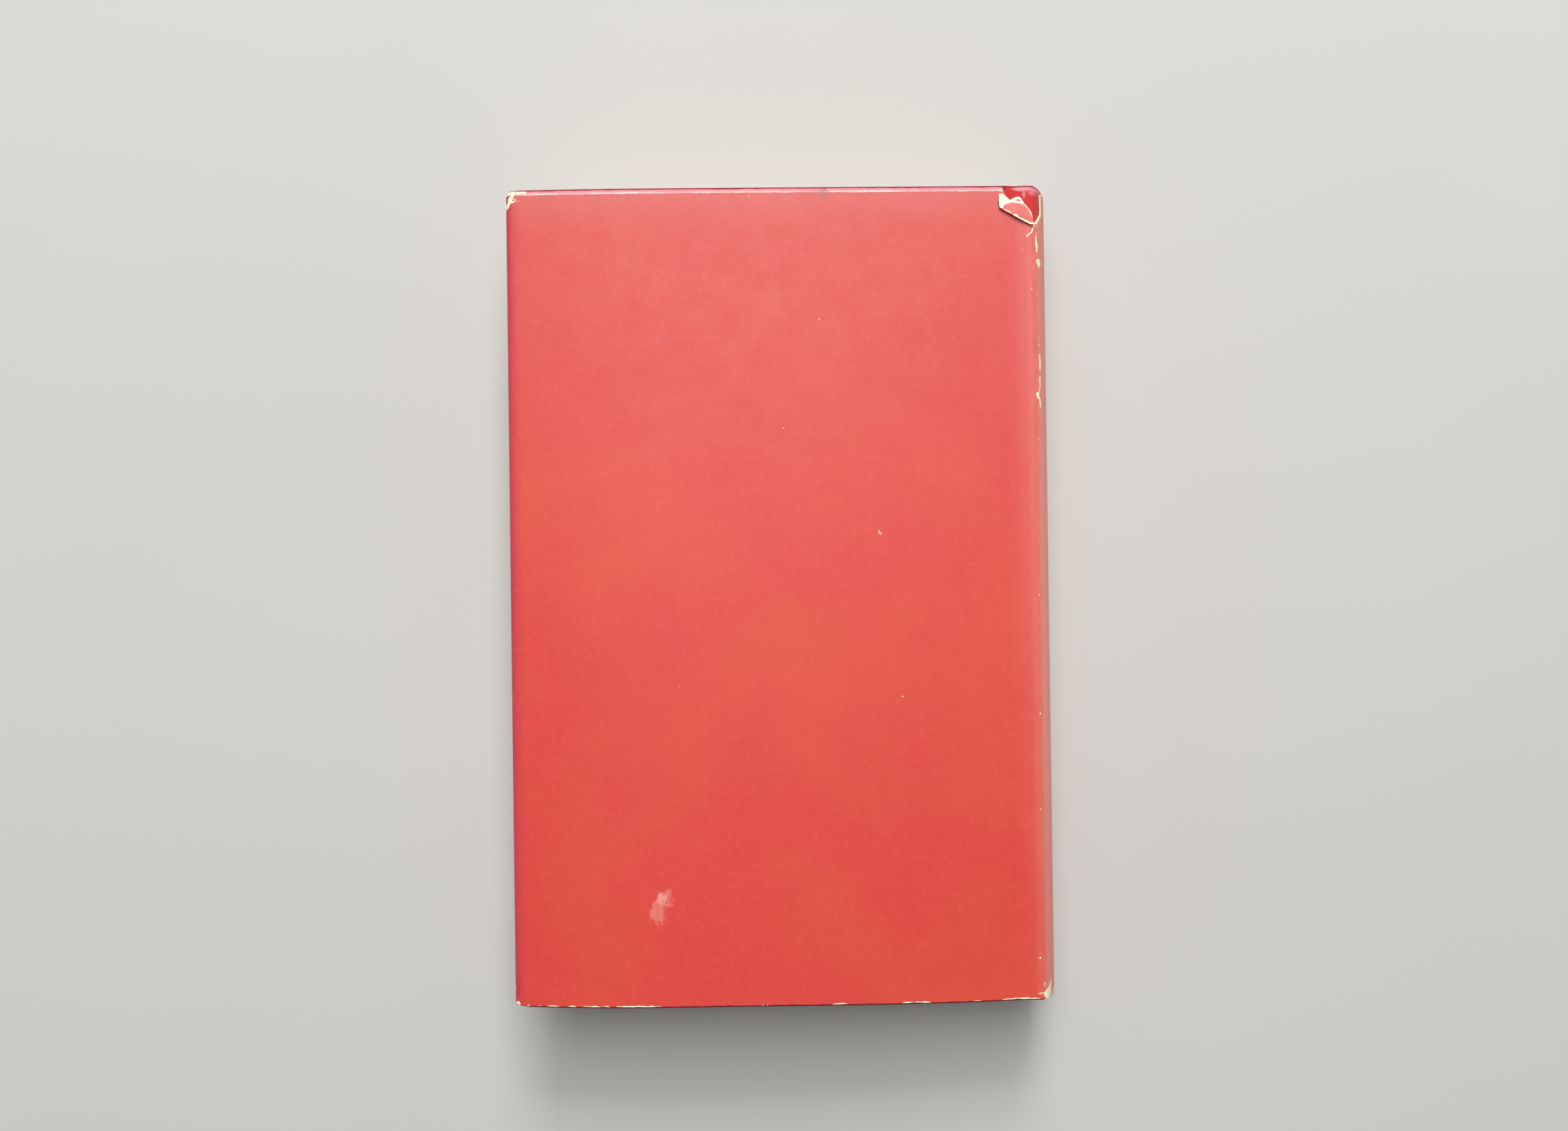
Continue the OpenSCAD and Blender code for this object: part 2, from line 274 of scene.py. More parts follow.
class Course:
    """A sheet's line across the book: X, Z and outward direction at each measured place along it.

    STEP is the spacing of its points in mm, and LEVEL the slope below which it counts as level.
    """

    STEP = 0.05
    LEVEL = 0.001

    def __init__(self, points: Sequence[Point], datum: Point, softness: float) -> None:
        """Lays the line out.

        Args:
            points: X and Z of the line, from the fore-edge side to the spine.
            datum: An X on the line's longest level stretch, and the place that it counts as.
            softness: Spread of the smoothing that rounds its corners, in mm.
        """
        step = self.STEP
        raw = np.array(points, float)
        run = np.concatenate([[0], np.cumsum(np.linalg.norm(np.diff(raw, axis=0), axis=1))])
        even = np.arange(0, run[-1] + step / 2, step)
        line = np.stack([np.interp(even, run, raw[:, 0]), np.interp(even, run, raw[:, 1])], 1)
        reach = max(1, int(3 * softness / step))
        kernel = np.exp(-0.5 * (np.arange(-reach, reach + 1) * step / softness) ** 2)
        kernel /= kernel.sum()
        head = line[0] - (line[1:reach + 1][::-1] - line[0])
        tail = line[-1] - (line[-reach - 1:-1][::-1] - line[-1])
        padded = np.concatenate([head, line, tail])
        self.xz = np.stack([np.convolve(padded[:, k], kernel, "valid") for k in (0, 1)], 1)
        run = np.concatenate([[0], np.cumsum(np.linalg.norm(np.diff(self.xz, axis=0), axis=1))])
        level = np.abs(np.gradient(self.xz[:, 1], run)) < self.LEVEL
        ahead = np.gradient(self.xz[:, 0], run) > 0
        at = np.argmin(np.where(level & ahead, np.abs(self.xz[:, 0] - datum[0]), np.inf))
        self.place = run - run[at] + datum[1]
        along = np.gradient(self.xz, self.place, axis=0)
        self.out = np.stack([-along[:, 1], along[:, 0]], 1)

    def at(self, place: np.ndarray) -> tuple[np.ndarray, np.ndarray]:
        """X and Z at measured places."""
        return tuple(np.interp(place, self.place, self.xz[:, k]) for k in (0, 1))

    def outward(self, place: np.ndarray) -> tuple[np.ndarray, np.ndarray]:
        """X and Z of the outward direction at measured places."""
        return tuple(np.interp(place, self.place, self.out[:, k]) for k in (0, 1))

    @property
    def ends(self) -> Point:
        """First and last place of the line."""
        return float(self.place[0]), float(self.place[-1])


def arc(centre: Point, radius: float, start: float, end: float, count: int = 40) -> list[Point]:
    """Points on an arc, with angles in degrees from +X towards +Z."""
    turn = [math.radians(start + (end - start) * i / count) for i in range(count + 1)]
    return [(centre[0] + radius * math.cos(a), centre[1] + radius * math.sin(a)) for a in turn]


def inside(points: np.ndarray, outline: Sequence[Point]) -> np.ndarray:
    """Finds the points that lie inside a closed outline.

    Args:
        points: The points, one row each.
        outline: The outline's corners.

    Returns:
        Whether each point lies inside.
    """
    found = np.zeros(len(points), bool)
    corners = np.array(outline)
    for (x0, y0), (x1, y1) in zip(corners, np.roll(corners, -1, axis=0)):
        if y0 != y1:
            crossed = (y0 > points[:, 1]) != (y1 > points[:, 1])
            found ^= crossed & (points[:, 0] < x0 + (points[:, 1] - y0) * (x1 - x0) / (y1 - y0))
    return found


def ribbon(line: Sequence[Point], width: float, seed: int) -> list[Point]:
    """Outline of a ragged band along a line.

    Args:
        line: Points of its middle.
        width: Mean width; it varies by about a third and comes to a point at both ends.
        seed: Seed of the raggedness.

    Returns:
        The outline's points.
    """
    spacing = 0.45
    draw = random.Random(seed)
    line = np.array(line, float)
    run = np.concatenate([[0], np.cumsum(np.linalg.norm(np.diff(line, axis=0), axis=1))])
    count = max(4, int(run[-1] / spacing))
    at = np.linspace(0, run[-1], count)
    mid = np.stack([np.interp(at, run, line[:, k]) for k in (0, 1)], 1)
    along = np.gradient(mid, axis=0)
    across = np.stack([-along[:, 1], along[:, 0]], 1) / np.linalg.norm(along, axis=1)[:, None]
    half = np.array([width / 2 * draw.uniform(0.65, 1.35) for _ in at]) * np.clip(
        np.minimum(at, run[-1] - at) / max(width, 1e-6) + 0.3, 0, 1)
    left = mid + across * half[:, None]
    right = mid - across * (half * [draw.uniform(0.7, 1.3) for _ in at])[:, None]
    return [tuple(p) for p in np.concatenate([left, right[::-1]])]


def blot(x: float, y: float, width: float, height: float, seed: int) -> list[Point]:
    """Outline of a small ragged chip.

    Args:
        x: Its middle across the sheet.
        y: Its middle along the sheet.
        width: Its size across.
        height: Its size along.
        seed: Seed of its raggedness.

    Returns:
        The outline's points.
    """
    draw = random.Random(seed)
    corners = 9
    found = []
    for i in range(corners):
        a = 2 * math.pi * (i + draw.uniform(-0.3, 0.3)) / corners
        r = draw.uniform(0.6, 1.1) / 2
        found.append((x + width * r * math.cos(a), y + height * r * math.sin(a)))
    return found


def eased(shape: Sequence[Point]) -> list[Point]:
    """Cuts the corners of a closed outline twice, so that it runs softly.

    Args:
        shape: The outline's points.

    Returns:
        The softer outline.
    """
    found = np.array(shape, float)
    for _ in range(2):
        ahead = np.roll(found, -1, axis=0)
        near, far = 0.75 * found + 0.25 * ahead, 0.25 * found + 0.75 * ahead
        found = np.stack([near, far], 1).reshape(-1, 2)
    return [tuple(p) for p in found]


def worn_edge(start: Point, end: Point, depth: float, seed: int, gap: float = 1.3) -> list[Point]:
    """A worn straight edge.

    Args:
        start: Where it starts.
        end: Where it ends; this point isn't in the result.
        depth: How far a point may be set back, to the left of the way.
        seed: Seed of the wear.
        gap: Mean distance between its points.

    Returns:
        The edge's points.
    """
    draw = random.Random(seed)
    a, b = np.array(start, float), np.array(end, float)
    length = float(np.linalg.norm(b - a))
    count = max(1, int(length / gap))
    left = np.array([-(b - a)[1], (b - a)[0]]) / length
    found = [tuple(a)]
    for i in range(1, count):
        deep = depth * draw.random() ** 3
        found.append(tuple(a + (b - a) * (i + draw.uniform(-0.3, 0.3)) / count + left * deep))
    return found


@dataclass(frozen=True)
class CutSheet:
    """A flat sheet cut to its outline, as points, triangles and a tag for each triangle."""

    points: np.ndarray
    triangles: Faces
    tags: list[int]


def cut_sheet(outline: Sequence[Point], marks: Sequence[tuple[Sequence[Point], int]],
              lattices: Iterable[tuple[np.ndarray, np.ndarray]]) -> CutSheet:
    """Cuts a sheet to its outline and cuts the outlines of its marks into it.

    Args:
        outline: The sheet's closed outline.
        marks: Closed outlines with the tag of what lies inside each; the last one wins.
        lattices: Rows and columns of the points that fill it.

    Returns:
        The flat sheet.
    """
    points = list(outline)
    loops = [list(range(len(outline)))]
    for shape, _ in marks:
        loops.append(list(range(len(points), len(points) + len(shape))))
        points.extend(shape)
    for columns, rows in lattices:
        grid = np.stack(np.meshgrid(columns, rows), -1).reshape(-1, 2)
        points.extend(tuple(p) for p in grid[inside(grid, outline)])
    found, _, faces, *_ = delaunay_2d_cdt([Vector(p) for p in points], [], loops, 0, 1e-4)
    flat = np.array([tuple(p) for p in found])
    corners = np.array(faces)
    a, b, c = (flat[corners[:, k]] for k in range(3))
    area = (b - a)[:, 0] * (c - a)[:, 1] - (b - a)[:, 1] * (c - a)[:, 0]
    corners[area < 0] = corners[area < 0][:, ::-1]
    middle = (a + b + c) / 3
    kept = inside(middle, outline) & (np.abs(area) > 1e-7)
    tags = np.zeros(len(corners), int)
    for shape, tag in marks:
        tags[inside(middle, shape)] = tag
    used, order = np.unique(corners[kept], return_inverse=True)
    triangles = [tuple(int(i) for i in face) for face in order.reshape(-1, 3)]
    return CutSheet(flat[used], triangles, [int(tag) for tag in tags[kept]])


def make_object(name: str, points: np.ndarray, faces: Faces, finishes: Sequence[bpy.types.Material],
                places: np.ndarray, slots: Sequence[int] | None = None,
                sharp: float = 50) -> bpy.types.Object:
    """Makes a smooth-shaded object.

    Args:
        name: Name of the piece.
        points: Its vertices, in mm.
        faces: Its faces.
        finishes: The materials.
        places: Rest places of the vertices that its finish reads, in mm.
        slots: The finish of each face, as a number in finishes, where there are several.
        sharp: Angle in degrees from which an edge is drawn sharp.

    Returns:
        The linked object.
    """
    mesh = bpy.data.meshes.new(name)
    mesh.from_pydata([tuple(p) for p in points * MM], [], faces)
    for finish in finishes:
        mesh.materials.append(finish)
    if slots is not None:
        mesh.polygons.foreach_set("material_index", np.array(slots, np.int32))
    mesh.polygons.foreach_set("use_smooth", np.ones(len(mesh.polygons), bool))
    mesh.attributes.new(PLACE, "FLOAT_VECTOR", "POINT").data.foreach_set(
        "vector", (places * MM).astype(np.float32).ravel())
    mesh.validate()
    mesh.set_sharp_from_angle(angle=math.radians(sharp))
    made = bpy.data.objects.new(name, mesh)
    bpy.context.scene.collection.objects.link(made)
    return made


def face_normals(points: np.ndarray, faces: Faces) -> np.ndarray:
    """Directions in which the vertices of a surface look.

    Args:
        points: The vertices.
        faces: The faces round them.

    Returns:
        A unit normal for each vertex.
    """
    total = np.zeros_like(points)
    for size in {len(f) for f in faces}:
        group = np.array([f for f in faces if len(f) == size])
        middle = points[group].mean(1)
        for k in range(size):
            a, b = points[group[:, k]] - middle, points[group[:, (k + 1) % size]] - middle
            wedge = np.cross(a, b)
            np.add.at(total, group[:, k], wedge)
            np.add.at(total, group[:, (k + 1) % size], wedge)
    return total / np.maximum(np.linalg.norm(total, axis=1), 1e-12)[:, None]


def thick_sheet(name: str, top: np.ndarray, faces: Faces, thickness: float,
                finishes: Sequence[bpy.types.Material], places: np.ndarray, turned: bool = False,
                tags: Sequence[int] | None = None) -> bpy.types.Object:
    """Makes a closed sheet from its outer surface.

    Args:
        name: Name of the piece.
        top: Points of the outer surface.
        faces: Faces of the outer surface, which look outward.
        thickness: Thickness of the sheet, inward.
        finishes: Its one finish, or those of the outer surface, the inner one and the cut edge.
        places: Flat places of the points, two numbers each.
        turned: Whether top is mirrored, so that its faces look inward as given.
        tags: Finish of each outer face, as a number in finishes, where there are several.

    Returns:
        The object.
    """
    if turned:
        faces = [tuple(reversed(face)) for face in faces]
    count = len(top)
    under = top - face_normals(top, faces) * thickness
    edges: dict[tuple[int, int], int] = {}
    for face in faces:
        for a, b in zip(face, face[1:] + face[:1]):
            edges[a, b] = edges.get((a, b), 0) + 1
    rim = [(b, a, a + count, b + count) for a, b in edges if (b, a) not in edges]
    back = [tuple(i + count for i in reversed(face)) for face in faces]
    slots = None
    if tags is not None:
        inner = len(finishes) - 2
        slots = list(tags) + [inner] * len(back) + [inner + 1] * len(rim)
    flat = np.concatenate([places, np.zeros((count, 1))], 1)
    flat_under = np.concatenate([places, np.full((count, 1), -thickness)], 1)
    return make_object(name, np.concatenate([top, under]), list(faces) + back + rim, finishes,
                       np.concatenate([flat, flat_under]), slots)


def grid_faces(columns: int, rows: int) -> Faces:
    """Quads of a grid whose points run along its columns first, row by row."""
    return [(j * columns + i, j * columns + i + 1, (j + 1) * columns + i + 1, (j + 1) * columns + i)
            for j in range(rows - 1) for i in range(columns - 1)]


def box_surface(xs: np.ndarray, ys: np.ndarray, zs: np.ndarray) -> tuple[np.ndarray, Faces]:
    """Surface of a box as a lattice of quads that look outward.

    Args:
        xs: Places of its columns.
        ys: Places of its rows.
        zs: Places of its levels.

    Returns:
        The points and the faces.
    """
    number: dict[tuple[int, ...], int] = {}
    last = (len(xs) - 1, len(ys) - 1, len(zs) - 1)
    faces: Faces = []
    for first, second, across in ((0, 1, 2), (0, 2, 1), (1, 2, 0)):
        steps = (range(last[first]), range(last[second]), (0, last[across]))
        for i, j, k in itertools.product(*steps):
            quad = []
            for di, dj in ((0, 0), (1, 0), (1, 1), (0, 1)):
                at = [k, k, k]
                at[first], at[second] = i + di, j + dj
                quad.append(number.setdefault(tuple(at), len(number)))
            outward = bool(k) != (across == 1)
            faces.append(tuple(quad if outward else quad[::-1]))
    points = np.array([(xs[i], ys[j], zs[k]) for i, j, k in number])
    return points, faces


def linear(colour: Rgb) -> tuple[float, float, float, float]:
    """A colour as it shows, from 0 to 255, in linear light."""
    channels = [c / 255 for c in colour]
    return (*[c / 12.92 if c <= 0.04045 else ((c + 0.055) / 1.055) ** 2.4 for c in channels], 1.0)


class Bench:
    """Lays out the shader nodes of one finish, whose colour grows by one layer after another."""

    def __init__(self, name: str, tone: Rgb, roughness: float, shine: float,
                 rigid: bool = False) -> None:
        """Starts a material.

        Args:
            name: Name of the material.
            tone: Its first colour.
            roughness: Roughness that the whole surface has unless nodes drive it.
            shine: Specular level of the whole surface.
            rigid: Whether it is for a piece of the model, which has no rest places of its own.
        """
        self.material = bpy.data.materials.new(name)
        self.material.use_nodes = True
        self.tree = self.material.node_tree
        self.shader = self.tree.nodes["Principled BSDF"]
        self.shader.inputs["Roughness"].default_value = roughness
        self.shader.inputs["Specular IOR Level"].default_value = shine
        self.colour: object = linear(tone)
        if rigid:
            self.at = self.node("TexCoord").outputs["Object"]
        else:
            self.at = self.node("Attribute", attribute_name=PLACE).outputs["Vector"]

    def node(self, kind: str, *inputs: object, **settings: object) -> bpy.types.Node:
        """Adds a node.

        Args:
            kind: Its type, without the first word that all of them share.
            inputs: Values or links of its first inputs, in order; None leaves one alone.
            settings: Its other settings.

        Returns:
            The node.
        """
        made = self.tree.nodes.new("ShaderNode" + kind)
        for key, value in settings.items():
            setattr(made, key, value)
        for socket, value in zip(made.inputs, inputs):
            self.feed(socket, value)
        return made

    def feed(self, socket: Socket, value: object) -> None:
        """Feeds a socket.

        Args:
            socket: The socket.
            value: A socket to link to it, a value to set, or None to leave it alone.
        """
        if isinstance(value, Socket):
            self.tree.links.new(value, socket)
        elif value is not None:
            socket.default_value = value

    def axes(self) -> tuple[Socket, Socket, Socket]:
        """The place on the surface as three numbers, in metres."""
        return tuple(self.node("SeparateXYZ", self.at).outputs)

    def noise(self, size: float, detail: float = 3, rough: float = 0.6,
              stretch: Scale | None = None) -> Socket:
        """Noise over the surface.

        Args:
            size: Size of its features, in mm.
            detail: Number of its finer layers.
            rough: Strength of the finer layers.
            stretch: How fast it changes along each axis, where that isn't even.

        Returns:
            The noise, from 0 to 1.
        """
        at = self.node("Mapping", self.at, None, None, stretch).outputs[0] if stretch else self.at
        made = self.node("TexNoise", at)
        for socket, value in (("Scale", 1 / (size * MM)), ("Detail", detail), ("Roughness", rough)):
            made.inputs[socket].default_value = value
        return made.outputs[0]

    def ramp(self, value: Socket, low: float, high: float, first: float = 0,
             last: float = 1) -> Socket:
        """Smooth change from first to last as value goes from low to high."""
        made = self.node("MapRange", value, low, high, first, last, interpolation_type="SMOOTHSTEP")
        return made.outputs[0]

    def span(self, place: Socket, low: float, high: float, first: float = 0,
             last: float = 1) -> Socket:
        """The same change along a place, from low to high in mm."""
        return self.ramp(place, low * MM, high * MM, first, last)

    def sums(self, operation: str, a: object, b: object = None) -> Socket:
        """The result of one operation on two numbers."""
        return self.node("Math", a, b, operation=operation).outputs[0]

    def shares(self, *values: Socket) -> Socket:
        """Multiplies several shares.

        Args:
            values: The shares.

        Returns:
            Their product.
        """
        found = values[0]
        for value in values[1:]:
            found = self.sums("MULTIPLY", found, value)
        return found

    def lay(self, share: Socket, tone: Rgb) -> None:
        """Lays a tone over the colour so far.

        Args:
            share: How much of it shows.
            tone: The tone.
        """
        made = self.node("Mix", data_type="RGBA")
        for socket, value in zip((made.inputs[0], made.inputs[6], made.inputs[7]),
                                 (share, self.colour, linear(tone))):
            self.feed(socket, value)
        self.colour = made.outputs[2]

    def spot(self, u: Socket, v: Socket, centre: Point, reach: Point) -> Socket:
        """A soft oval.

        Args:
            u: Place across the surface.
            v: Place along it.
            centre: Its middle, in mm.
            reach: Half its width and half its length, in mm.

        Returns:
            1 at its middle, falling to 0 at its rim.
        """
        squares = []
        for way, mid, half in zip((u, v), centre, reach):
            away = self.sums("DIVIDE", self.sums("SUBTRACT", way, mid * MM), half * MM)
            squares.append(self.sums("POWER", away, 2.0))
        return self.ramp(self.sums("ADD", *squares), 1.0, 0.15)

    def most(self, u: Socket, v: Socket, spots: Sequence[Spot]) -> Socket:
        """The strongest of several ovals at each place.

        Args:
            u: Place across the surface.
            v: Place along it.
            spots: Middle, reach and share of each oval.

        Returns:
            The share.
        """
        shares = [self.sums("MULTIPLY", self.spot(u, v, centre, reach), share)
                  for centre, reach, share in spots]
        found = shares[0]
        for share in shares[1:]:
            found = self.sums("MAXIMUM", found, share)
        return found

    def bump(self, height: Socket, depth: float, strength: float,
             over: Socket | None = None) -> Socket:
        """Relief of the surface.

        Args:
            height: Height from 0 to 1.
            depth: Depth in mm that it stands for.
            strength: Strength of the relief.
            over: Relief that it lies on.

        Returns:
            The normal.
        """
        made = self.node("Bump")
        made.inputs["Strength"].default_value = strength
        made.inputs["Distance"].default_value = depth * MM
        self.feed(made.inputs["Height"], height)
        self.feed(made.inputs["Normal"], over)
        return made.outputs[0]

    def finish(self, normal: Socket, roughness: Socket | None = None) -> bpy.types.Material:
        """Feeds the shader.

        Args:
            normal: Relief of the surface.
            roughness: Its roughness, where that isn't even.

        Returns:
            The material.
        """
        self.feed(self.shader.inputs["Base Color"], self.colour)
        self.feed(self.shader.inputs["Roughness"], roughness)
        self.feed(self.shader.inputs["Normal"], normal)
        return self.material


@dataclass(frozen=True)
class PrintedPaper:
    """The coral printed face of the jacket: bleached, with a painted highlight, along the spine;
    rubbed along its edges.
    """

    name: str
    sizes: BookSizes
    ink: Rgb = (209, 60, 52)
    warm: Rgb = (211, 71, 51)
    fibre: Rgb = (188, 48, 48)
    deep: Rgb = (191, 52, 48)
    dusty: Rgb = (194, 98, 94)
    pale: Rgb = (212, 112, 114)
    # Painted shade of the jacket's rounded fore-edge.
    fore_edge_shade: Rgb = (190, 54, 76)
    tan: Rgb = (214, 112, 98)
    # Bleached tone, made lighter as a painted highlight on the curve onto the spine.
    faded_with_highlight: Rgb = (232, 146, 132)
    dark_grain: Rgb = (176, 44, 44)
    light_grain: Rgb = (218, 84, 66)
    # Pale head band: worn paper, and also a painted highlight of the head edge.
    band: Rgb = (210, 118, 134)
    rubbed: Rgb = (241, 204, 200)
    nick: Rgb = (120, 34, 36)
    smear: Rgb = (226, 158, 142)
    pit: Rgb = (104, 26, 26)
    stain: Rgb = (158, 92, 80)
    scuff: tuple[Spot, ...] = (
        ((-33.3, -79.7), (1.7, 2.7), 0.8), ((-34.3, -82.6), (2.2, 4.0), 0.36),
        ((-35.5, -83.0), (0.8, 3.0), 0.5), ((-33.6, -83.9), (0.8, 2.4), 0.5),
        ((-31.6, -79.2), (1.5, 2.7), 0.32), ((-32.8, -77.6), (2.2, 0.7), 0.4))
    pits: tuple[Spot, ...] = (
        ((-33.9, -77.7), (0.2, 0.15), 0.7), ((-32.2, -80.4), (0.14, 0.3), 0.7))
    stains: tuple[Spot, ...] = (
        ((11.8, 106.5), (1.9, 1.7), 0.62), ((13.0, 106.5), (0.5, 1.3), 0.5),
        ((8.6, 106.6), (3.4, 1.0), 0.2))

    def make(self) -> bpy.types.Material:
        """Builds the material.

        Returns:
            The material.
        """
        b = Bench(self.name, self.ink, 0.52, 0.6)
        u, v, _ = b.axes()
        wash = b.noise(9, 2)
        thin = b.noise(1.1, 3, 0.65, (0.3, 1, 1))
        self.age(b, u, v, wash)
        worn = self.rub_head(b, v, thin)
        self.mark(b, u, v, thin)
        rough = b.sums("ADD", b.ramp(wash, 0.2, 0.8, 0.48, 0.56), b.sums("MULTIPLY", worn, 0.25))
        relief = b.bump(b.noise(7, 2, 0.5), 0.05, 0.5)
        return b.finish(b.bump(b.noise(0.55, 2), 0.012, 0.8, relief), rough)

    def age(self, b: Bench, u: Socket, v: Socket, wash: Socket) -> None:
        """Lays the print's uneven tone, its fading towards head and spine, a painted highlight over
        the bleached curve onto the spine, and a rosy painted shade where it rounds over the
        fore-edge.

        Args:
            b: The bench.
            u: Place across the sheet.
            v: Place along it.
            wash: Noise that breaks up the fading.
        """
        head, crease = self.sizes.jacket_y, self.sizes.crease_x
        b.lay(b.ramp(b.noise(42, 3, 0.55), 0.35, 0.68), self.warm)
        b.lay(b.ramp(b.noise(0.9, 3, 0.6, (1, 0.35, 1)), 0.2, 0.8, 0, 0.16), self.fibre)
        b.lay(b.span(v, 0, head, 0, 0.5), self.deep)
        b.lay(b.shares(b.span(v, head - 12, head, 0, 0.5), b.ramp(wash, 0.25, 0.7, 0.6, 1)),
              self.dusty)
        # Painted shade: a darker rosy tone where the jacket rounds over the fore-edge.
        b.lay(b.span(u, self.sizes.cloth_x + 3.4, self.sizes.fold_x + 0.2, 0, 0.75), self.fore_edge_shade)
        b.lay(b.shares(b.span(u, crease - 8.5, crease - 3, 0, 0.26),
                       b.span(v, -head, 0.5 * head, 0.2, 1),
                       b.ramp(wash, 0.2, 0.75, 0.5, 1)), self.pale)
        b.lay(b.shares(b.span(u, crease - 3.2, crease - 0.6),
                       b.span(v, -head, 0.2 * head, 0.5, 0.9),
                       b.ramp(wash, 0.2, 0.75, 0.8, 1)), self.tan)
        # Partly bleaching, partly painted highlight: the curve onto the spine is lightened to make up
        # for the light it turns away from.
        b.lay(b.shares(b.span(u, crease - 1.0, crease + 2.0, 0, 0.95),
                       b.span(v, -head, -0.2 * head, 0.7, 1),
                       b.span(v, 0, head, 1, 0.7)), self.faded_with_highlight)
        b.lay(b.ramp(b.noise(0.34, 1, 0.5), 0.35, 0.8, 0, 0.3), self.dark_grain)
        b.lay(b.ramp(b.noise(1.6, 2), 0.45, 0.8, 0, 0.3), self.light_grain)

    def rub_head(self, b: Bench, v: Socket, thin: Socket) -> Socket:
        """Lays the pale band along the head, partly worn paper and partly a painted highlight of the
        head edge facing the light, the rubbed white line on it and the nicks below it.

        Args:
            b: The bench.
            v: Place along the sheet.
            thin: Noise that makes the band wander.

        Returns:
            How much the line is rubbed at each place.
        """
        head = self.sizes.jacket_y
        strength = b.ramp(b.noise(17, 2, 0.6, (1, 0, 0)), 0.32, 0.62, 0.15, 1)
        wander = b.sums("ADD", v, b.sums("MULTIPLY", b.sums("SUBTRACT", thin, 0.5), 0.5 * MM))
        # Partly wear, partly painted highlight: the pale band stands for the head edge catching the
        # light.
        b.lay(b.span(wander, head - 1.12, head - 0.95, 0, 0.9), self.band)
        line = b.shares(b.span(wander, head - 1.1, head - 0.98),
                        b.span(wander, head - 0.35, head - 0.8))
        worn = b.shares(line, strength, b.ramp(b.noise(0.8, 2), 0.3, 0.5, 0.3, 1))
        b.lay(worn, self.rubbed)
        below = b.shares(b.span(wander, head - 1.4, head - 1.2),
                         b.span(wander, head - 1.0, head - 1.14))
        ragged = b.ramp(b.noise(0.7, 1, 0.5, (0.6, 1, 1)), 0.5, 0.66, 0.1, 0.75)
        b.lay(b.shares(below, ragged, strength), self.nick)
        return worn

    def mark(self, b: Bench, u: Socket, v: Socket, thin: Socket) -> None:
        """Lays the scuff near the tail, the stain at the head and the faint specks.

        Args:
            b: The bench.
            u: Place across the sheet.
            v: Place along it.
            thin: Noise that breaks up the stain.
        """
        shake = 0.7 * MM
        shaken = [b.sums("ADD", way, b.ramp(b.noise(1.5, 1, 0.5, stretch), 0.2, 0.8, -shake, shake))
                  for way, stretch in ((u, (1, 0.8, 1)), (v, (0.8, 1.1, 1)))]
        broken = b.ramp(b.noise(0.9, 3, 0.6, (1, 0.6, 1)), 0.3, 0.62, 0.6, 1)
        b.lay(b.shares(b.most(*shaken, self.scuff), broken), self.smear)
        b.lay(b.most(u, v, self.pits), self.pit)
        b.lay(b.shares(b.most(u, v, self.stains), b.ramp(thin, 0.3, 0.6, 0.6, 1)), self.stain)
        b.lay(b.ramp(b.noise(0.9, 0, 0.5), 0.885, 0.91, 0, 0.4), self.pale)


@dataclass(frozen=True)
class BookCloth:
    """Bright red book cloth in a fine plain weave, rubbed at the spine, with painted shade at its
    edges.
    """

    edge_y: float
    name: str = "case_cloth"
    thread: Rgb = (196, 38, 38)
    shade: Rgb = (170, 27, 34)
    bloom: Rgb = (216, 88, 86)
    # Painted shade: dark crimson laid near and over the edges of the boards.
    painted_edge_shade: Rgb = (108, 6, 34)
    rub: Rgb = (226, 158, 170)
    rubs: tuple[Spot, ...] = (((66.8, 107.7), (4.4, 0.8), 0.9), ((67.3, 106.7), (0.7, 1.9), 0.65),
                              ((70.4, 107.2), (2.4, 1.7), 0.5), ((71.6, 107.6), (3.6, 0.8), 0.8))
    # Where the painted edge shade ends on the board, towards the joint.
    edge_shade_end: Point = (61.2, 60.4)
    pitch: float = 0.22

    def make(self) -> bpy.types.Material:
        """Builds the material.

        Returns:
            The material.
        """
        b = Bench(self.name, self.shade, 0.72, 0.35)
        b.shader.inputs["Sheen Weight"].default_value = 0.06
        b.shader.inputs["Sheen Roughness"].default_value = 0.5
        u, v, _ = b.axes()
        wave = 2 * math.pi / (2 * self.pitch * MM)
        over, under = (b.sums("SINE", b.sums("MULTIPLY", line, wave)) for line in (u, v))
        weave = b.ramp(b.sums("MULTIPLY", over, under), -1, 1)
        slub = b.noise(0.8, 2, 0.5, (1, 0.12, 1))
        b.lay(b.ramp(weave, 0.1, 0.8, 0.6, 1), self.thread)
        b.lay(b.ramp(slub, 0.5, 0.8, 0, 0.35), self.bloom)
        b.lay(b.ramp(b.noise(5), 0.5, 0.75, 0, 0.25), self.bloom)
        b.lay(b.shares(b.most(u, v, self.rubs), b.ramp(b.noise(0.7, 2), 0.3, 0.6, 0.35, 1)),
              self.rub)
        # Painted shade: the cloth is darkened near and over the board edges, where their faces are in
        # shade.
        far, edge = b.sums("ABSOLUTE", v), self.edge_y
        on_board = b.shares(b.span(far, edge - 1.0, edge - 0.35, 0, 0.85),
                            b.span(u, *self.edge_shade_end))
        on_fold = b.span(far, edge - 0.05, edge + 0.2, 0, 0.8)
        outside = b.span(far, edge + 3, edge + 1.5)
        b.lay(b.shares(b.sums("MAXIMUM", on_board, on_fold), outside), self.painted_edge_shade)
        return b.finish(b.bump(b.sums("ADD", weave, slub), 0.014, 0.6))


class Grain(NamedTuple):
    """A noise: size of its features in mm, its finer layers and their strength, and its stretch."""

    size: float
    detail: float = 3
    rough: float = 0.6
    stretch: Scale | None = None


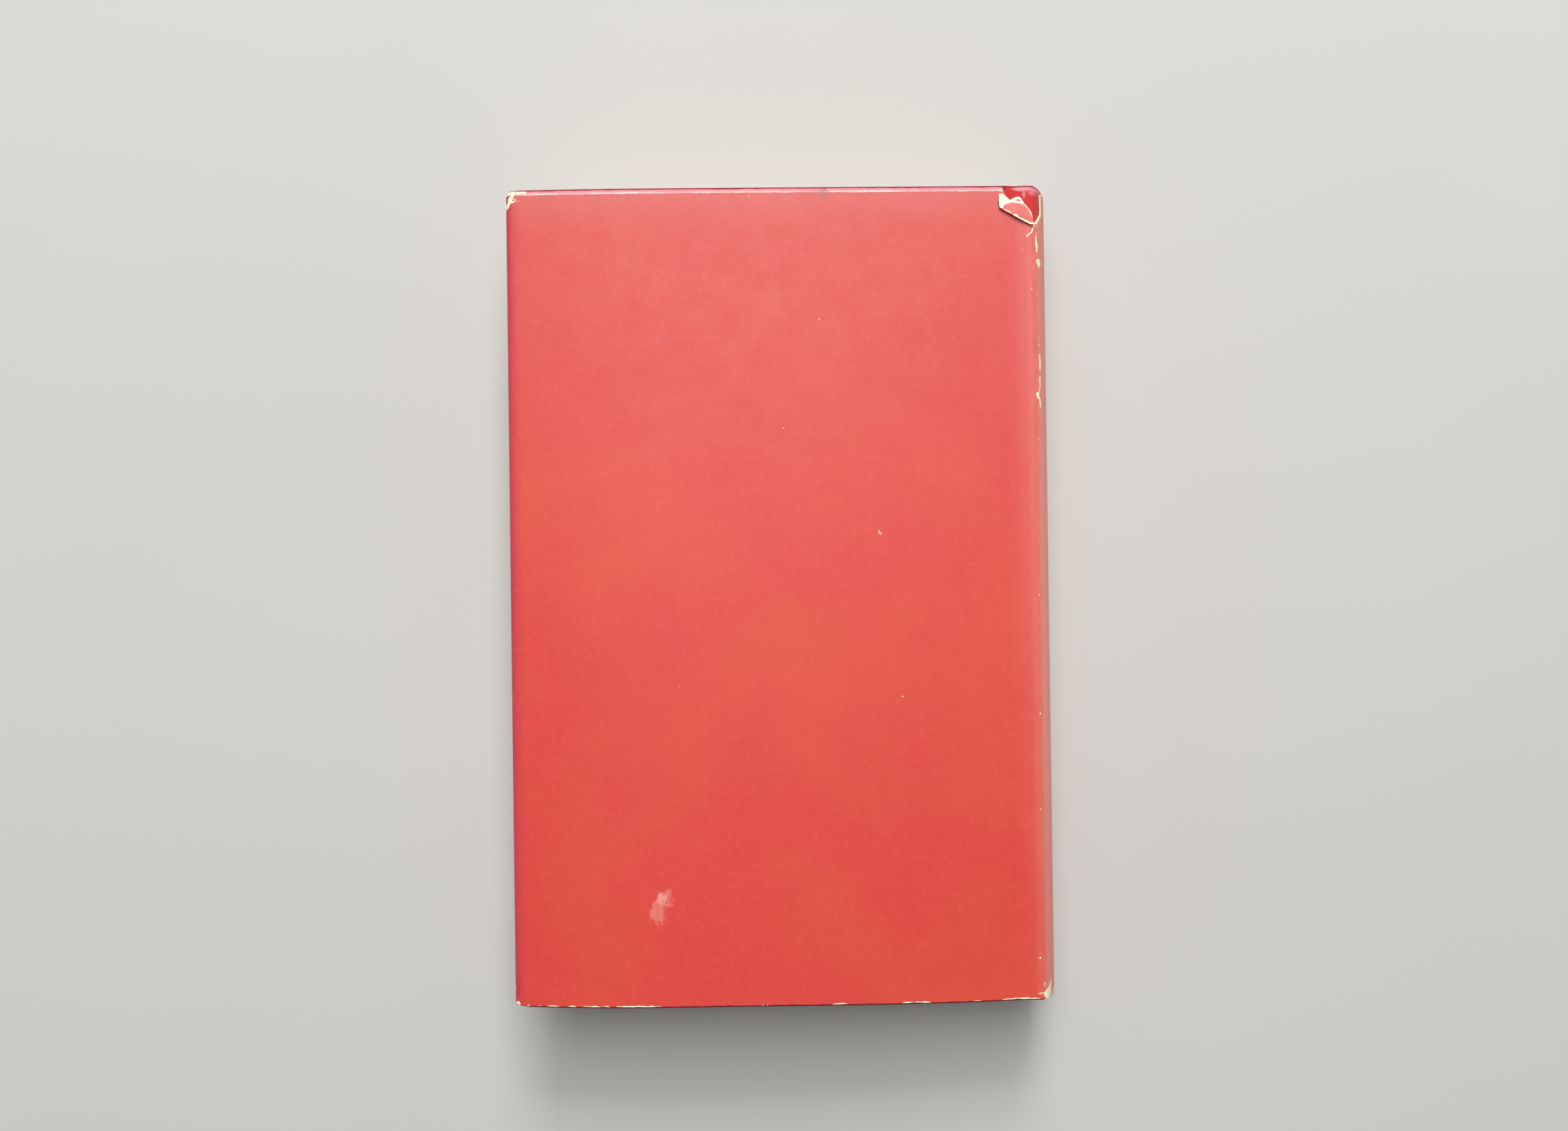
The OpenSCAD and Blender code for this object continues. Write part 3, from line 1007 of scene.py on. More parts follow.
class Cloud(NamedTuple):
    """A tone laid over a surface where a noise passes from low to high."""

    tone: Rgb
    grain: Grain
    low: float
    high: float
    share: float


@dataclass(frozen=True)
class Mottled:
    """A plain material whose tone varies in clouds, streaks or flecks."""

    name: str
    tone: Rgb
    clouds: tuple[Cloud, ...]
    relief: Grain
    depth: float
    strength: float
    roughness: float
    shine: float
    sheen: float = 0
    rigid: bool = False

    def make(self) -> bpy.types.Material:
        """Builds the material.

        Returns:
            The material.
        """
        b = Bench(self.name, self.tone, self.roughness, self.shine, self.rigid)
        b.shader.inputs["Sheen Weight"].default_value = self.sheen
        for tone, grain, low, high, share in self.clouds:
            b.lay(b.ramp(b.noise(*grain), low, high, 0, share), tone)
        return b.finish(b.bump(b.noise(*self.relief), self.depth, self.strength))


def bare_paper(name: str, tone: Rgb, toned: Rgb, tooth: float = 0.02) -> bpy.types.Material:
    """Uncoated paper: the back of the jacket, its torn edges, or an endpaper.

    Args:
        name: Name of the material.
        tone: Its colour.
        toned: Its colour where age has toned it.
        tooth: Depth of its surface in mm.

    Returns:
        The material.
    """
    fibre = Grain(0.6, 4, 0.65, (1, 0.5, 1))
    clouds = (Cloud(toned, Grain(28), 0.3, 0.72, 0.55), Cloud(toned, fibre, 0.35, 0.7, 0.35))
    return Mottled(name, tone, clouds, fibre, tooth, 0.9, 0.85, 0.3).make()


def pulp_board(name: str, tone: Rgb, fleck: Rgb, streak: float = 1.0) -> bpy.types.Material:
    """Pressed pulp with flecks: the boards, the spine card or the kraft lining.

    Args:
        name: Name of the material.
        tone: Its colour.
        fleck: Colour of its flecks.
        streak: How fast the flecks change along it; less than 1 draws them out.

    Returns:
        The material.
    """
    pulp = Grain(0.7, 3, 0.7, (1, streak, 1))
    clouds = (Cloud(fleck, Grain(6), 0.3, 0.7, 0.5), Cloud(fleck, pulp, 0.58, 0.7, 0.6))
    return Mottled(name, tone, clouds, pulp, 0.05, 0.7, 0.9, 0.25, rigid=True).make()


def page_edges() -> bpy.types.Material:
    """Trimmed edges of the pages, with the fine lines of the leaves and of the quires.

    Returns:
        The material.
    """
    shade = (192, 172, 138)
    leaves = Grain(0.12, 2, 0.7, (0.002, 0.002, 1))
    clouds = (Cloud(shade, leaves, 0.35, 0.7, 0.7),
              Cloud(shade, Grain(1.6, 1, 0.5, (0.001, 0.001, 1)), 0.5, 0.62, 0.3),
              Cloud((206, 184, 146), Grain(18), 0.45, 0.75, 0.4))
    return Mottled("page_edges", (233, 222, 196), clouds, leaves, 0.06, 0.8, 0.88, 0.25).make()


def band_thread() -> bpy.types.Material:
    """Wound thread of the head and tail bands.

    Returns:
        The material.
    """
    strand = Grain(0.9, 2, 0.6, (8, 1, 1))
    clouds = (Cloud((188, 44, 40), strand, 0.3, 0.7, 1),)
    return Mottled("band_thread", (120, 20, 24), clouds, strand, 0.03, 0.8, 0.6, 0.4,
                   sheen=0.3).make()


def floor_paint() -> bpy.types.Material:
    """Plain pale matt paint of the floor.

    Returns:
        The material.
    """
    clouds = (Cloud((186, 185, 183), Grain(160, 2, 0.5), 0.3, 0.7, 0.25),)
    return Mottled("floor_paint", (192, 191, 188), clouds, Grain(3, 2, 0.5), 0.03, 0.4, 0.9, 0.2,
                   rigid=True).make()


@dataclass(frozen=True)
class Mull:
    """Open cotton weave, stiff with glue."""

    name: str = "mull_weave"
    thread: Rgb = (226, 218, 198)
    glue: Rgb = (176, 160, 128)
    pitch: float = 1.1

    def make(self) -> bpy.types.Material:
        """Builds the material.

        Returns:
            The material.
        """
        b = Bench(self.name, self.glue, 0.8, 0.3, rigid=True)
        u, v, w = b.axes()
        wave = 2 * math.pi / (self.pitch * MM)
        ways = (b.sums("ADD", u, w), v)
        across, along = (b.sums("SINE", b.sums("MULTIPLY", way, wave)) for way in ways)
        threads = b.sums("MAXIMUM", b.ramp(across, 0.2, 0.9), b.ramp(along, 0.2, 0.9))
        b.lay(threads, self.thread)
        b.lay(b.ramp(b.noise(0.5, 3, 0.7), 0.4, 0.75, 0, 0.4), self.glue)
        return b.finish(b.bump(threads, 0.12, 0.8))


class Finishes:
    """Every finish of the book, made once."""

    def __init__(self, sizes: BookSizes) -> None:
        """Makes the materials.

        Args:
            sizes: The book's sizes, which place the wear of the jacket.
        """
        self.print = PrintedPaper("jacket_print", sizes).make()
        dull = PrintedPaper("jacket_print_dull", sizes, (216, 104, 92), (222, 118, 104))
        self.tongue = dull.make()
        self.inner = bare_paper("jacket_inner", (240, 232, 206), (226, 212, 176))
        self.torn = bare_paper("jacket_torn", (247, 240, 212), (232, 216, 178), 0.05)
        self.endpaper = bare_paper("endpaper", (236, 229, 206), (220, 206, 172))
        self.cloth = BookCloth(sizes.case_y).make()
        self.edges = page_edges()
        self.thread = band_thread()
        self.board = pulp_board("binders_board", (150, 140, 124), (112, 102, 88))
        self.card = pulp_board("grey_card", (164, 152, 132), (126, 112, 92))
        self.kraft = pulp_board("kraft_paper", (176, 138, 94), (142, 104, 66), 0.3)
        self.mull = Mull().make()


def fasten(made: bpy.types.Object, body: str, slot: str, *nodes: str,
           bend: Point | None = None) -> bpy.types.Object:
    """Lets a piece ride on a body, or leaves it on no body with its place baked into its mesh.

    Args:
        made: The piece.
        body: The body that it rides on; not read where a bend is given.
        slot: Not used.
        nodes: The model's nodes that it replaces.
        bend: X in mm at which the bend starts and ends; only whether it is given is read.

    Returns:
        The piece.
    """
    if bend:
        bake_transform(made)
    else:
        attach(made, body)
    if nodes:
        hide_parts(*nodes)
    return made


@dataclass
class DustJacket:
    """The paper jacket: one half for each cover, from mid spine to the end of its flap."""

    sizes: BookSizes
    finishes: Finishes
    bow: CoverBow
    fold_r: float = 1.2
    flap_w: float = 85
    spine_loss: float = 0.9
    groove_dip: float = 0.16
    crease_soft: float = 1.2
    wave: float = 0.07
    fine_wave: float = 0.025
    board_ridge: float = 0.05
    curl: float = 0.55
    curl_reach: float = 2.2

    @property
    def groove(self) -> Point:
        """X on either side of the groove, passed on as the bend."""
        return self.sizes.split_x - 1.8, self.sizes.split_x + 1.8

    def course(self) -> Course:
        """Lays out the rear half's outer face, from the flap's end to the middle of the spine.

        Returns:
            The line.
        """
        s = self.sizes
        top, low = s.thickness, s.thickness - s.flap_d
        centre = (s.spine_x, s.mid_z)
        crease = math.degrees(math.asin(s.mid_z / s.jacket_r))
        points = [(s.fold_x + self.flap_w, low)]
        points += arc((s.cloth_x, low + self.fold_r), self.fold_r, 270, 180)
        points += arc((s.cloth_x, top - self.fold_r), self.fold_r, 180, 90)
        points += arc(centre, s.jacket_r, crease, 0)
        return Course(points, (0, 0), self.crease_soft)

    def torn_line(self) -> list[Point]:
        """The torn edge at the head of the spine, from the spine's middle towards the fore-edge.

        Returns:
            Its points.
        """
        return [(74.5, 106.9), (73.2, 106.75), (72.2, 106.5), (71.4, 106.2), (71.1, 105.8),
                (71.4, 104.9), (71.5, 103.6), (71.75, 102.3), (71.6, 101.1), (70.7, 100.2),
                (69.7, 99.4), (68.8, 98.7), (68.2, 98.0), (67.5, 98.4), (67.1, 99.4), (66.7, 100.5),
                (65.8, 101.8), (64.8, 103.2), (64.1, 104.2), (63.4, 104.5), (62.5, 104.1),
                (61.4, 104.1), (60.9, 104.6), (60.2, 105.2), (59.8, 105.8), (59.6, 106.3),
                (59.5, 106.8)]

    def outline(self, side: Side, ends: Point) -> list[Point]:
        """The half's outline in flat places.

        Args:
            side: The cover that it belongs to.
            ends: Flat places of the flap's end and of the middle of the spine.

        Returns:
            The closed outline, anticlockwise.
        """
        s = self.sizes
        flap, mid = ends
        tail, head = -s.jacket_y, s.jacket_y
        found = worn_edge((flap, tail), (-71, tail), 0.12, 3)
        if side is Side.REAR:
            found += worn_edge((-71, tail), (-6.9, tail), 0.16, 4)
            found += [(-6.9, tail), (-6.5, tail + 0.45), (-6.2, tail + 0.05)]
            found += worn_edge((-6.1, tail), (68.6, tail), 0.16, 5)
            found += [(68.7, tail - 0.1), (69.8, tail - 0.5), (70.4, tail - 0.2),
                      (70.9, tail + 0.9), (71.4, tail - 0.1), (72.6, tail - 0.9),
                      (73.4, tail - 0.7), (73.7, tail + 1.4), (74.1, tail + 0.2),
                      (75.2, tail - 1.1), (75.9, tail - 1.5), (75.6, tail - 0.4),
                      (75.3, tail + 0.3)]
            found += worn_edge((76.2, tail), (mid, tail), 0.1, 6) + [(mid, tail)]
            found += worn_edge((mid, head - self.spine_loss), (75.6, head - 0.5), 0.2, 7, 0.6)
            found += self.torn_line()
            found += worn_edge((59.35, head), (-70.3, head), 0.14, 8)
            found += [(-71.2, head - 0.05), (-72.0, head - 0.35), (-72.8, head - 0.75),
                      (-73.9, head - 0.8), (-75.2, head - 0.5)]
        else:
            level = mid - 5.6
            found += worn_edge((-71, tail), (mid, tail), 0.14, 9) + [(mid, tail)]
            found += worn_edge((mid, head - self.spine_loss), (level, head - 0.25), 0.25, 10, 0.6)
            found += worn_edge((level - 0.9, head), (-76, head), 0.14, 11)
        found += worn_edge((-76, head), (flap, head), 0.12, 12)
        found += worn_edge((flap, head), (flap, tail), 0.03, 13, 6)
        return found

    def rear_marks(self) -> list[list[Point]]:
        """Lays out the places where the print has gone from the rear half.

        Returns:
            Their outlines.
        """
        tail = -self.sizes.jacket_y
        found = [
            [(67.5, -106.2), (67.9, -105.8), (68.6, -105.4), (68.8, -105.1), (69.6, -105.2),
             (70.3, -104.8), (70.8, -104.4), (71.5, -103.9), (73.0, -103.9), (72.2, -104.8),
             (71.7, -106.0), (72.0, -106.7), (72.5, -108.6), (71.5, -108.0), (70.9, -106.5),
             (70.3, -108.4), (69.0, -107.9), (67.9, -107.2)],
            [(-73.1, -107.2), (-72.6, -106.6), (-72.1, -106.8), (-71.8, -106.3), (-71.5, -106.7),
             (-71.1, -107.4), (-72.0, -107.4)],
            [(68.2, 88.0), (69.9, 89.0), (71.7, 88.0), (70.9, 87.0), (70.0, 86.2), (69.1, 87.0)],
        ]
        lines = [
            ([(68.2, 97.8), (67.6, 96.8), (67.3, 96.1), (67.1, 95.4), (66.3, 94.9),
              (65.6, 94.2)], 0.34),
            ([(68.9, 97.6), (68.5, 96.9)], 0.22),
            ([(68.5, 94.9), (68.5, 93.4), (68.85, 92.1), (68.85, 90.2)], 0.9),
            ([(69.6, 63.4), (69.95, 61.0), (69.8, 58.6)], 1.0),
            ([(69.8, 57.6), (69.6, 55.6), (70.0, 54.0)], 0.85),
            ([(69.2, 54.6), (69.3, 53.6), (69.1, 52.6)], 0.5),
            ([(68.9, 51.9), (69.6, 50.6), (70.0, 48.9)], 0.95),
            ([(59.3, 107.2), (59.7, 106.1), (60.3, 105.1), (61.2, 104.3)], 0.36),
            ([(73.0, 106.9), (72.0, 105.6), (72.1, 103.6), (72.2, 101.2), (70.6, 99.7),
              (69.2, 98.6), (68.3, 97.8)], 0.95),
            ([(75.4, 107.2), (76.4, 106.2), (76.9, 104.4), (76.9, 101.6)], 1.3),
            ([(74.9, -106.4), (75.3, -107.8), (75.9, -109.3)], 0.8),
            ([(77.6, -98.0), (77.8, -100.5), (77.7, -102.8)], 0.9),
            ([(-73.3, 106.3), (-72.4, 106.85), (-71.3, 107.25), (-70.0, 107.35), (-68.6, 107.25),
              (-67.0, 107.35)], 0.62),
            ([(-70.3, 107.5), (-70.8, 106.7), (-71.3, 105.7), (-71.6, 104.9),
              (-71.9, 104.3)], 0.95),
            ([(-71.2, 105.4), (-71.7, 104.6), (-72.2, 103.9), (-72.7, 103.0)], 0.85),
            ([(-71.5, 104.8), (-70.9, 104.75), (-69.8, 105.15)], 0.42),
            ([(-70.5, 105.7), (-69.8, 105.3)], 0.22),
            ([(66.0, -106.25), (66.8, -106.05), (67.8, -106.0)], 0.3),
            ([(-73.6, 90.1), (-73.4, 89.0)], 0.2),
            ([(-73.5, -24.0), (-73.5, -25.1)], 0.25),
            ([(-72.9, -102.6), (-73.1, -104.1)], 0.3),
            ([(25.0, 16.8), (25.4, 16.2), (25.2, 15.6)], 0.22),
            ([(25.9, 16.3), (25.6, 15.4)], 0.18),
            ([(67.9, -104.6), (68.2, -103.4)], 0.22),
        ]
        dots = [
            (68.75, 95.4, 0.45, 0.4), (64.6, 91.0, 0.25, 0.3), (68.6, 52.1, 1.9, 2.2),
            (67.9, -1.0, 0.4, 0.4), (67.7, -32.4, 0.5, 0.55), (67.4, -57.6, 0.35, 0.5),
            (66.7, -96.8, 0.65, 0.6), (68.6, 40.4, 0.35, 0.5), (68.4, 37.4, 0.3, 0.3),
            (-7.9, 105.5, 0.35, 0.25), (13.1, 107.25, 0.6, 0.3), (67.9, -103.6, 0.35, 0.65),
            (10.3, 72.8, 0.5, 0.35), (0.3, 44.0, 0.5, 0.35), (30.9, -27.2, 0.45, 0.45),
            (-28.0, -23.8, 0.3, 0.25), (-69.1, 105.1, 0.3, 0.25), (66.9, 80.4, 0.3, 0.5),
            (69.0, 79.0, 0.4, 0.6), (69.8, 74.4, 0.35, 0.3), (69.4, 67.3, 0.3, 0.4),
            (69.5, 65.7, 0.5, 0.6),
        ]
        dashes = [
            (-69.5, -68.6), (-66.5, -65.2), (-64.2, -60.6), (-59.5, -56.0), (-54.9, -47.2),
            (-46.0, -33.5), (-20.3, -19.2), (-7.4, -5.6), (11.0, 16.2), (29.2, 37.3), (48.2, 51.0),
            (56.2, 66.8),
        ]
        found += [ribbon(line, width, 40 + i) for i, (line, width) in enumerate(lines)]
        found += [blot(x, y, w, h, 60 + i) for i, (x, y, w, h) in enumerate(dots)]
        for i, (start, end) in enumerate(dashes):
            draw = random.Random(80 + i)
            steps = np.linspace(start, end, max(3, int((end - start) / 0.8)))
            taper = [0.15 if x in (start, end) else 1 for x in steps[::-1]]
            upper = [(x, tail + draw.uniform(0.1, 0.45) * part)
                     for x, part in zip(steps[::-1], taper)]
            found.append([(x, tail - 0.3) for x in steps] + upper)
        return [eased(shape) for shape in found]

    def relief(self, side: Side, u: np.ndarray, v: np.ndarray) -> np.ndarray:
        """The small waves of the outer face, and how it dips over the groove.

        Args:
            side: The cover that the half wraps.
            u: Flat places across it.
            v: Flat places along it.

        Returns:
            How far it stands out from its smooth line.
        """
        s = self.sizes
        seed = 3.0 if side is Side.REAR else 8.0
        panel = smooth(s.cloth_x, s.cloth_x + 6, u) * (1 - smooth(s.crease_x - 3, s.crease_x, u))
        uneven = 0.75 + 0.35 * ripple(u * 0, v, 34, seed)
        dip = np.exp(-(((u - s.split_x - 1.5) / 1.9) ** 2)) * uneven
        ridge = np.exp(-(((u - s.joint_x + 0.6) / 0.5) ** 2))
        board = self.board_ridge * ridge * smooth(-30, -60, v)
        wave = self.wave * ripple(u, v, 30, seed) + self.fine_wave * ripple(u, v, 8, seed + 1)
        return np.maximum(panel * wave, -0.02) + board - self.groove_dip * dip

    def build(self, side: Side) -> bpy.types.Object:
        """Makes one half of the jacket.

        Args:
            side: The cover that it wraps.

        Returns:
            The piece.
        """
        s = self.sizes
        course = self.course()
        flap, mid = course.ends
        turn = s.cloth_x - math.pi * self.fold_r - (s.flap_d - 2 * self.fold_r)
        columns = stations((flap + 2, 4), (turn - 1, 0.3), (s.cloth_x + 0.6, 1.0),
                           (s.cloth_x + 4, 3), (58, 0.45), (71, 0.9), (mid - 1, 0.4), (mid, 1))
        rows = stations((-s.jacket_y + 0.5, 1.5), (-s.jacket_y + 2, 3.2), (s.jacket_y - 2, 1.5),
                        (s.jacket_y - 0.5, 1))
        lattices = [(columns, rows)]
        marks = []
        if side is Side.REAR:
            lattices.append((np.arange(57.3, 74, 0.5), np.arange(94.1, 107.3, 0.5)))
            marks = [(shape, 1) for shape in self.rear_marks()]
        sheet = cut_sheet(self.outline(side, (flap, mid)), marks, lattices)
        u, v = sheet.points[:, 0], sheet.points[:, 1]
        x, z = course.at(u)
        out_x, out_z = course.outward(u)
        raised = self.relief(side, u, v)
        x, z = x + out_x * raised, z + out_z * raised
        if side is Side.REAR:
            z = z + self.bow.lift(s, x, v)
        else:
            z = s.thickness - z
        along = v + self.bow.slip(s, u, v, side)
        made = thick_sheet(
            f"jacket_{side.word}_half", np.stack([x, along, z], 1), sheet.triangles, s.paper_t,
            [self.finishes.print, self.finishes.torn, self.finishes.inner, self.finishes.torn],
            sheet.points, side is Side.FRONT, sheet.tags)
        nodes = (f"jacket_{side.node}", "jacket_spine")
        return fasten(made, side.value, "jacket_paper", *nodes, bend=self.groove)

    def tongue(self) -> bpy.types.Object:
        """Makes the torn tongue that stands up over the rear panel at the head of the spine.

        Returns:
            The piece.
        """
        s = self.sizes
        hinge = [(61.8, 104.2), (62.5, 104.6), (63.2, 105.0), (64.0, 105.2), (64.6, 105.0),
                 (65.0, 104.4), (65.6, 103.5), (66.7, 102.2), (67.4, 101.2), (67.8, 100.3),
                 (68.0, 99.6), (67.9, 99.0), (68.1, 98.4)]
        free = [(68.5, 97.9), (67.6, 97.6), (66.7, 97.9), (65.2, 98.7), (63.7, 99.5), (63.0, 99.9),
                (61.8, 100.6), (60.7, 101.1), (59.8, 101.7), (59.0, 102.3)]
        end = [(58.8, 104.0), (58.9, 105.9), (59.9, 105.8), (60.6, 105.3)]
        outline = (hinge + free + end)[::-1]
        marks = [
            ([(58.7, 102.2), (58.7, 104.0), (58.8, 106.0), (59.9, 105.9), (60.7, 105.4),
              (61.8, 104.3), (62.6, 103.9), (61.7, 103.4), (60.9, 103.2), (60.0, 102.7),
              (60.1, 101.9)], 1),
            (ribbon([(61.8, 104.0), (62.6, 104.3), (63.4, 104.7), (64.1, 104.9), (64.6, 104.6),
                     (65.1, 103.9)], 0.6, 21), 1),
            ([(65.6, 103.6), (64.9, 104.7), (64.1, 105.1), (62.4, 104.5), (62.2, 103.9),
              (62.9, 103.4), (63.6, 103.5), (64.0, 103.2), (64.5, 103.4), (65.2, 103.1)], 1),
            ([(63.1, 104.1), (63.9, 104.5), (64.4, 104.45), (64.7, 104.0), (64.3, 103.8),
              (63.8, 103.85)], 0),
            (blot(63.6, 104.05, 0.25, 0.2, 31), 1),
            (ribbon([(65.0, 104.0), (65.6, 103.2), (66.7, 101.9), (67.3, 101.0),
                     (67.6, 99.6)], 0.22, 22), 1),
            (ribbon([(64.6, 104.6), (65.2, 103.7), (64.8, 103.2), (65.2, 102.6)], 0.32, 23), 1),
            (ribbon([(60.2, 101.9), (61.2, 101.3), (62.2, 100.7)], 0.22, 24), 1),
            (ribbon([(62.6, 100.3), (63.3, 100.1), (64.0, 99.6)], 0.55, 25), 1),
            (ribbon([(63.6, 99.7), (65.2, 98.95), (66.7, 98.2), (67.5, 97.9),
                     (68.4, 98.0)], 0.42, 26), 1),
        ]
        marks = [(eased(shape), tag) for shape, tag in marks]
        lattice = (np.arange(58.9, 68.5, 0.35), np.arange(97.7, 105.9, 0.35))
        sheet = cut_sheet(outline, marks, [lattice])
        u, v = sheet.points[:, 0], sheet.points[:, 1]
        line = np.array(hinge)
        away = np.full(len(u), np.inf)
        for a, b in zip(line, line[1:]):
            way = b - a
            t = np.clip(((u - a[0]) * way[0] + (v - a[1]) * way[1]) / (way @ way), 0, 1)
            away = np.minimum(away, np.hypot(u - a[0] - t * way[0], v - a[1] - t * way[1]))
        u, v = u - 0.5, v - 0.3
        curl = 0.06 + self.curl * (1 - np.exp(-away / self.curl_reach))
        curl = curl + 0.12 * (1 - smooth(58.3, 60.5, u))
        curl = curl + 0.05 * ripple(u, v, 2.4, 5.0) * smooth(0.3, 1.5, away)
        z = s.thickness + s.paper_t + curl
        made = thick_sheet(
            "jacket_torn_tongue", np.stack([u, v, z], 1), sheet.triangles, s.paper_t,
            [self.finishes.tongue, self.finishes.torn, self.finishes.inner, self.finishes.torn],
            sheet.points, tags=sheet.tags)
        return fasten(made, Side.REAR.value, "jacket_paper", bend=self.groove)


@dataclass
class ClothCase:
    """The red cloth that covers the boards, the grooves and the spine."""

    sizes: BookSizes
    finishes: Finishes
    bow: CoverBow
    edge_r: float = 0.4
    turn_in: float = 15
    bridge: float = 0.85
    corner_r: float = 1.5

    def board_wrap(self, side: Side) -> bpy.types.Object:
        """Makes the cloth round one board, turned in on three sides.

        Args:
            side: The cover.

        Returns:
            The piece, which rides on its cover.
        """
        s, r = self.sizes, self.edge_r
        low = np.array([s.cloth_x, -s.case_y, s.thickness - s.turn_d - s.cloth_t])
        high = np.array([s.joint_x + s.cloth_t, s.case_y, s.thickness - s.cloth_d])
        turn = low[:2] + self.turn_in

        def near(end: float, sign: int) -> list[float]:
            """Places over the rounded edge at one end."""
            return [end + sign * part * r for part in (0, 0.12, 0.35, 0.65, 1)]

        xs = np.array(sorted(near(low[0], 1) + near(high[0], -1) + [turn[0] - 0.3, turn[0]] +
                             list(np.linspace(low[0] + 3, high[0] - 2, 40))))
        ys = np.array(sorted(near(low[1], 1) + near(high[1], -1) +
                             [turn[1] - 0.3, turn[1], -turn[1], 0.3 - turn[1]] +
                             list(np.linspace(low[1] + 3, high[1] - 3, 34))))
        zs = np.array(sorted(near(low[2], 1) + near(high[2], -1)))
        points, faces = box_surface(xs, ys, zs)
        core = np.clip(points, low + r, high - r)
        away = points - core
        far = np.linalg.norm(away, axis=1)
        rounded = core + away * (r / np.maximum(far, 1e-9))[:, None]
        under = (np.abs(points[:, 2] - low[2]) < 1e-6) & (points[:, 0] > turn[0] - 0.1)
        under &= np.abs(points[:, 1]) < -turn[1] + 0.1
        rounded[:, 2] += np.where(under & (points[:, 0] < high[0] - 1), s.cloth_t + 0.05, 0)
        corner_r = self.corner_r
        cut = np.stack([low[0] + corner_r - rounded[:, 0],
                        np.abs(rounded[:, 1]) - high[1] + corner_r], 1)
        past = np.linalg.norm(np.maximum(cut, 0), axis=1)
        outside = (cut > 0).all(1) & (past > corner_r)
        share = np.where(outside, 1 - corner_r / np.maximum(past, 1e-9), 0)
        rounded[:, 0] += cut[:, 0] * share
        rounded[:, 1] -= np.sign(rounded[:, 1]) * cut[:, 1] * share
        places = rounded.copy()
        rounded[:, 1] += self.bow.slip(s, rounded[:, 0], rounded[:, 1], side)
        if side is Side.REAR:
            rounded[:, 2] += self.bow.lift(s, rounded[:, 0], rounded[:, 1])
        else:
            rounded[:, 2] = s.thickness - rounded[:, 2]
            faces = [tuple(reversed(face)) for face in faces]
        made = make_object(f"cloth_{side.word}_board", rounded, faces, [self.finishes.cloth],
                           places)
        return fasten(made, side.value, "case_cloth", f"{side.node}_cloth")

    def joint_lines(self) -> tuple[Course, Course]:
        """Lays out the cloth from a board's edge over the shoulder to the middle of the spine.

        Returns:
            Its line down through the groove, and its line level over the groove at head and tail.
        """
        s = self.sizes
        lift, softness = 0.9, 0.35
        datum = (s.joint_x - 0.8, s.joint_x - 0.8)
        case_r = s.inlay_r + s.cloth_t
        top_z = s.thickness - s.cloth_d + 0.02
        down = [(-1.6, 0), (-0.1, 0), (0.35, 0.12), (0.62, 0.6), (0.72, 1.3), (0.95, 2.0),
                (1.4, 2.6)]
        level = [(-1.6, 0), (0.3, 0), (1.2, 0.12)]
        xs = np.linspace(s.joint_x + 1.9, s.tip_x, 30)
        ridge = math.degrees(math.asin((s.tip_z + lift - s.mid_z) / case_r))
        shoulder = arc((s.spine_x, s.mid_z), case_r, ridge, 0)
        sunk = [(s.joint_x + dx, top_z - dz) for dx, dz in down]
        sunk += list(zip(xs, s.page_face(xs) + lift))
        filled = [(s.joint_x + dx, top_z - dz) for dx, dz in level]
        return Course(sunk + shoulder, datum, softness), Course(filled + shoulder, datum, softness)

    def joint_rows(self) -> list[tuple[float, float, float]]:
        """Lays out the rows along a strip whose ends are folded in.

        Returns:
            For each row, its Y, its share of the fold's depth, and how far it stands out past Y.
        """
        s = self.sizes
        half, turns = 0.5, [math.radians(a) for a in range(0, 181, 20)]
        turned = [(s.case_y - inward, 1.0, 0.0) for inward in (self.turn_in, 6, 1.5)]
        turned += [(s.case_y, half + half * math.cos(a), half * math.sin(a) - half) for a in turns]
        tail = [(-y, share, out) for y, share, out in turned]
        middle = [(y, 0.0, 0.0) for y in np.linspace(-s.case_y + 1.5, s.case_y - 1.5, 70)]
        return tail + middle + [(-y, share, out) for y, share, out in tail[::-1]]

    def joint_wrap(self, side: Side) -> bpy.types.Object:
        """Makes the cloth from a board's edge through the groove and over the shoulder.

        Args:
            side: The cover.

        Returns:
            The piece.
        """
        s = self.sizes
        sunk_line, full_line = self.joint_lines()
        start, mid = sunk_line.ends
        board_end = s.joint_x - 0.2
        u = stations((start, 0.4), (board_end, 0.2), (s.tip_x + 7, 0.8), (mid - 1, 0.35), (mid, 1))
        turns = [float(line.place[np.argmax(line.xz[:, 0] > s.tip_x + 1)])
                 for line in (sunk_line, full_line)]
        full_mid = full_line.ends[1]
        full_u = np.interp(u, [start, board_end, turns[0], mid],
                           [start, board_end, turns[1], full_mid])
        sunk = np.stack([*sunk_line.at(u), *sunk_line.outward(u)])
        full = np.stack([*full_line.at(full_u), *full_line.outward(full_u)])
        thin, thick = 0.63, 2 * s.cloth_t + 0.6
        depth = thin + (thick - thin) * smooth(s.tip_x + 3, s.tip_x + 6, u)
        top, run = [], [0.0]
        rows = self.joint_rows()
        for y, share, out in rows:
            bridge = self.bridge * smooth(s.case_y - 12, s.case_y - 3, abs(y))
            x, z, out_x, out_z = (1 - bridge) * sunk + bridge * full
            inward = share * depth
            row = np.stack([x - out_x * inward, y + math.copysign(1, y) * out * depth,
                            z - out_z * inward], 1)
            row[:, 1] += self.bow.slip(s, u, row[:, 1], side)
            if side is Side.REAR:
                row[:, 2] += self.bow.lift(s, row[:, 0], row[:, 1])
            if top:
                run.append(run[-1] + float(np.median(np.linalg.norm(row - top[-1], axis=1))))
            top.append(row)
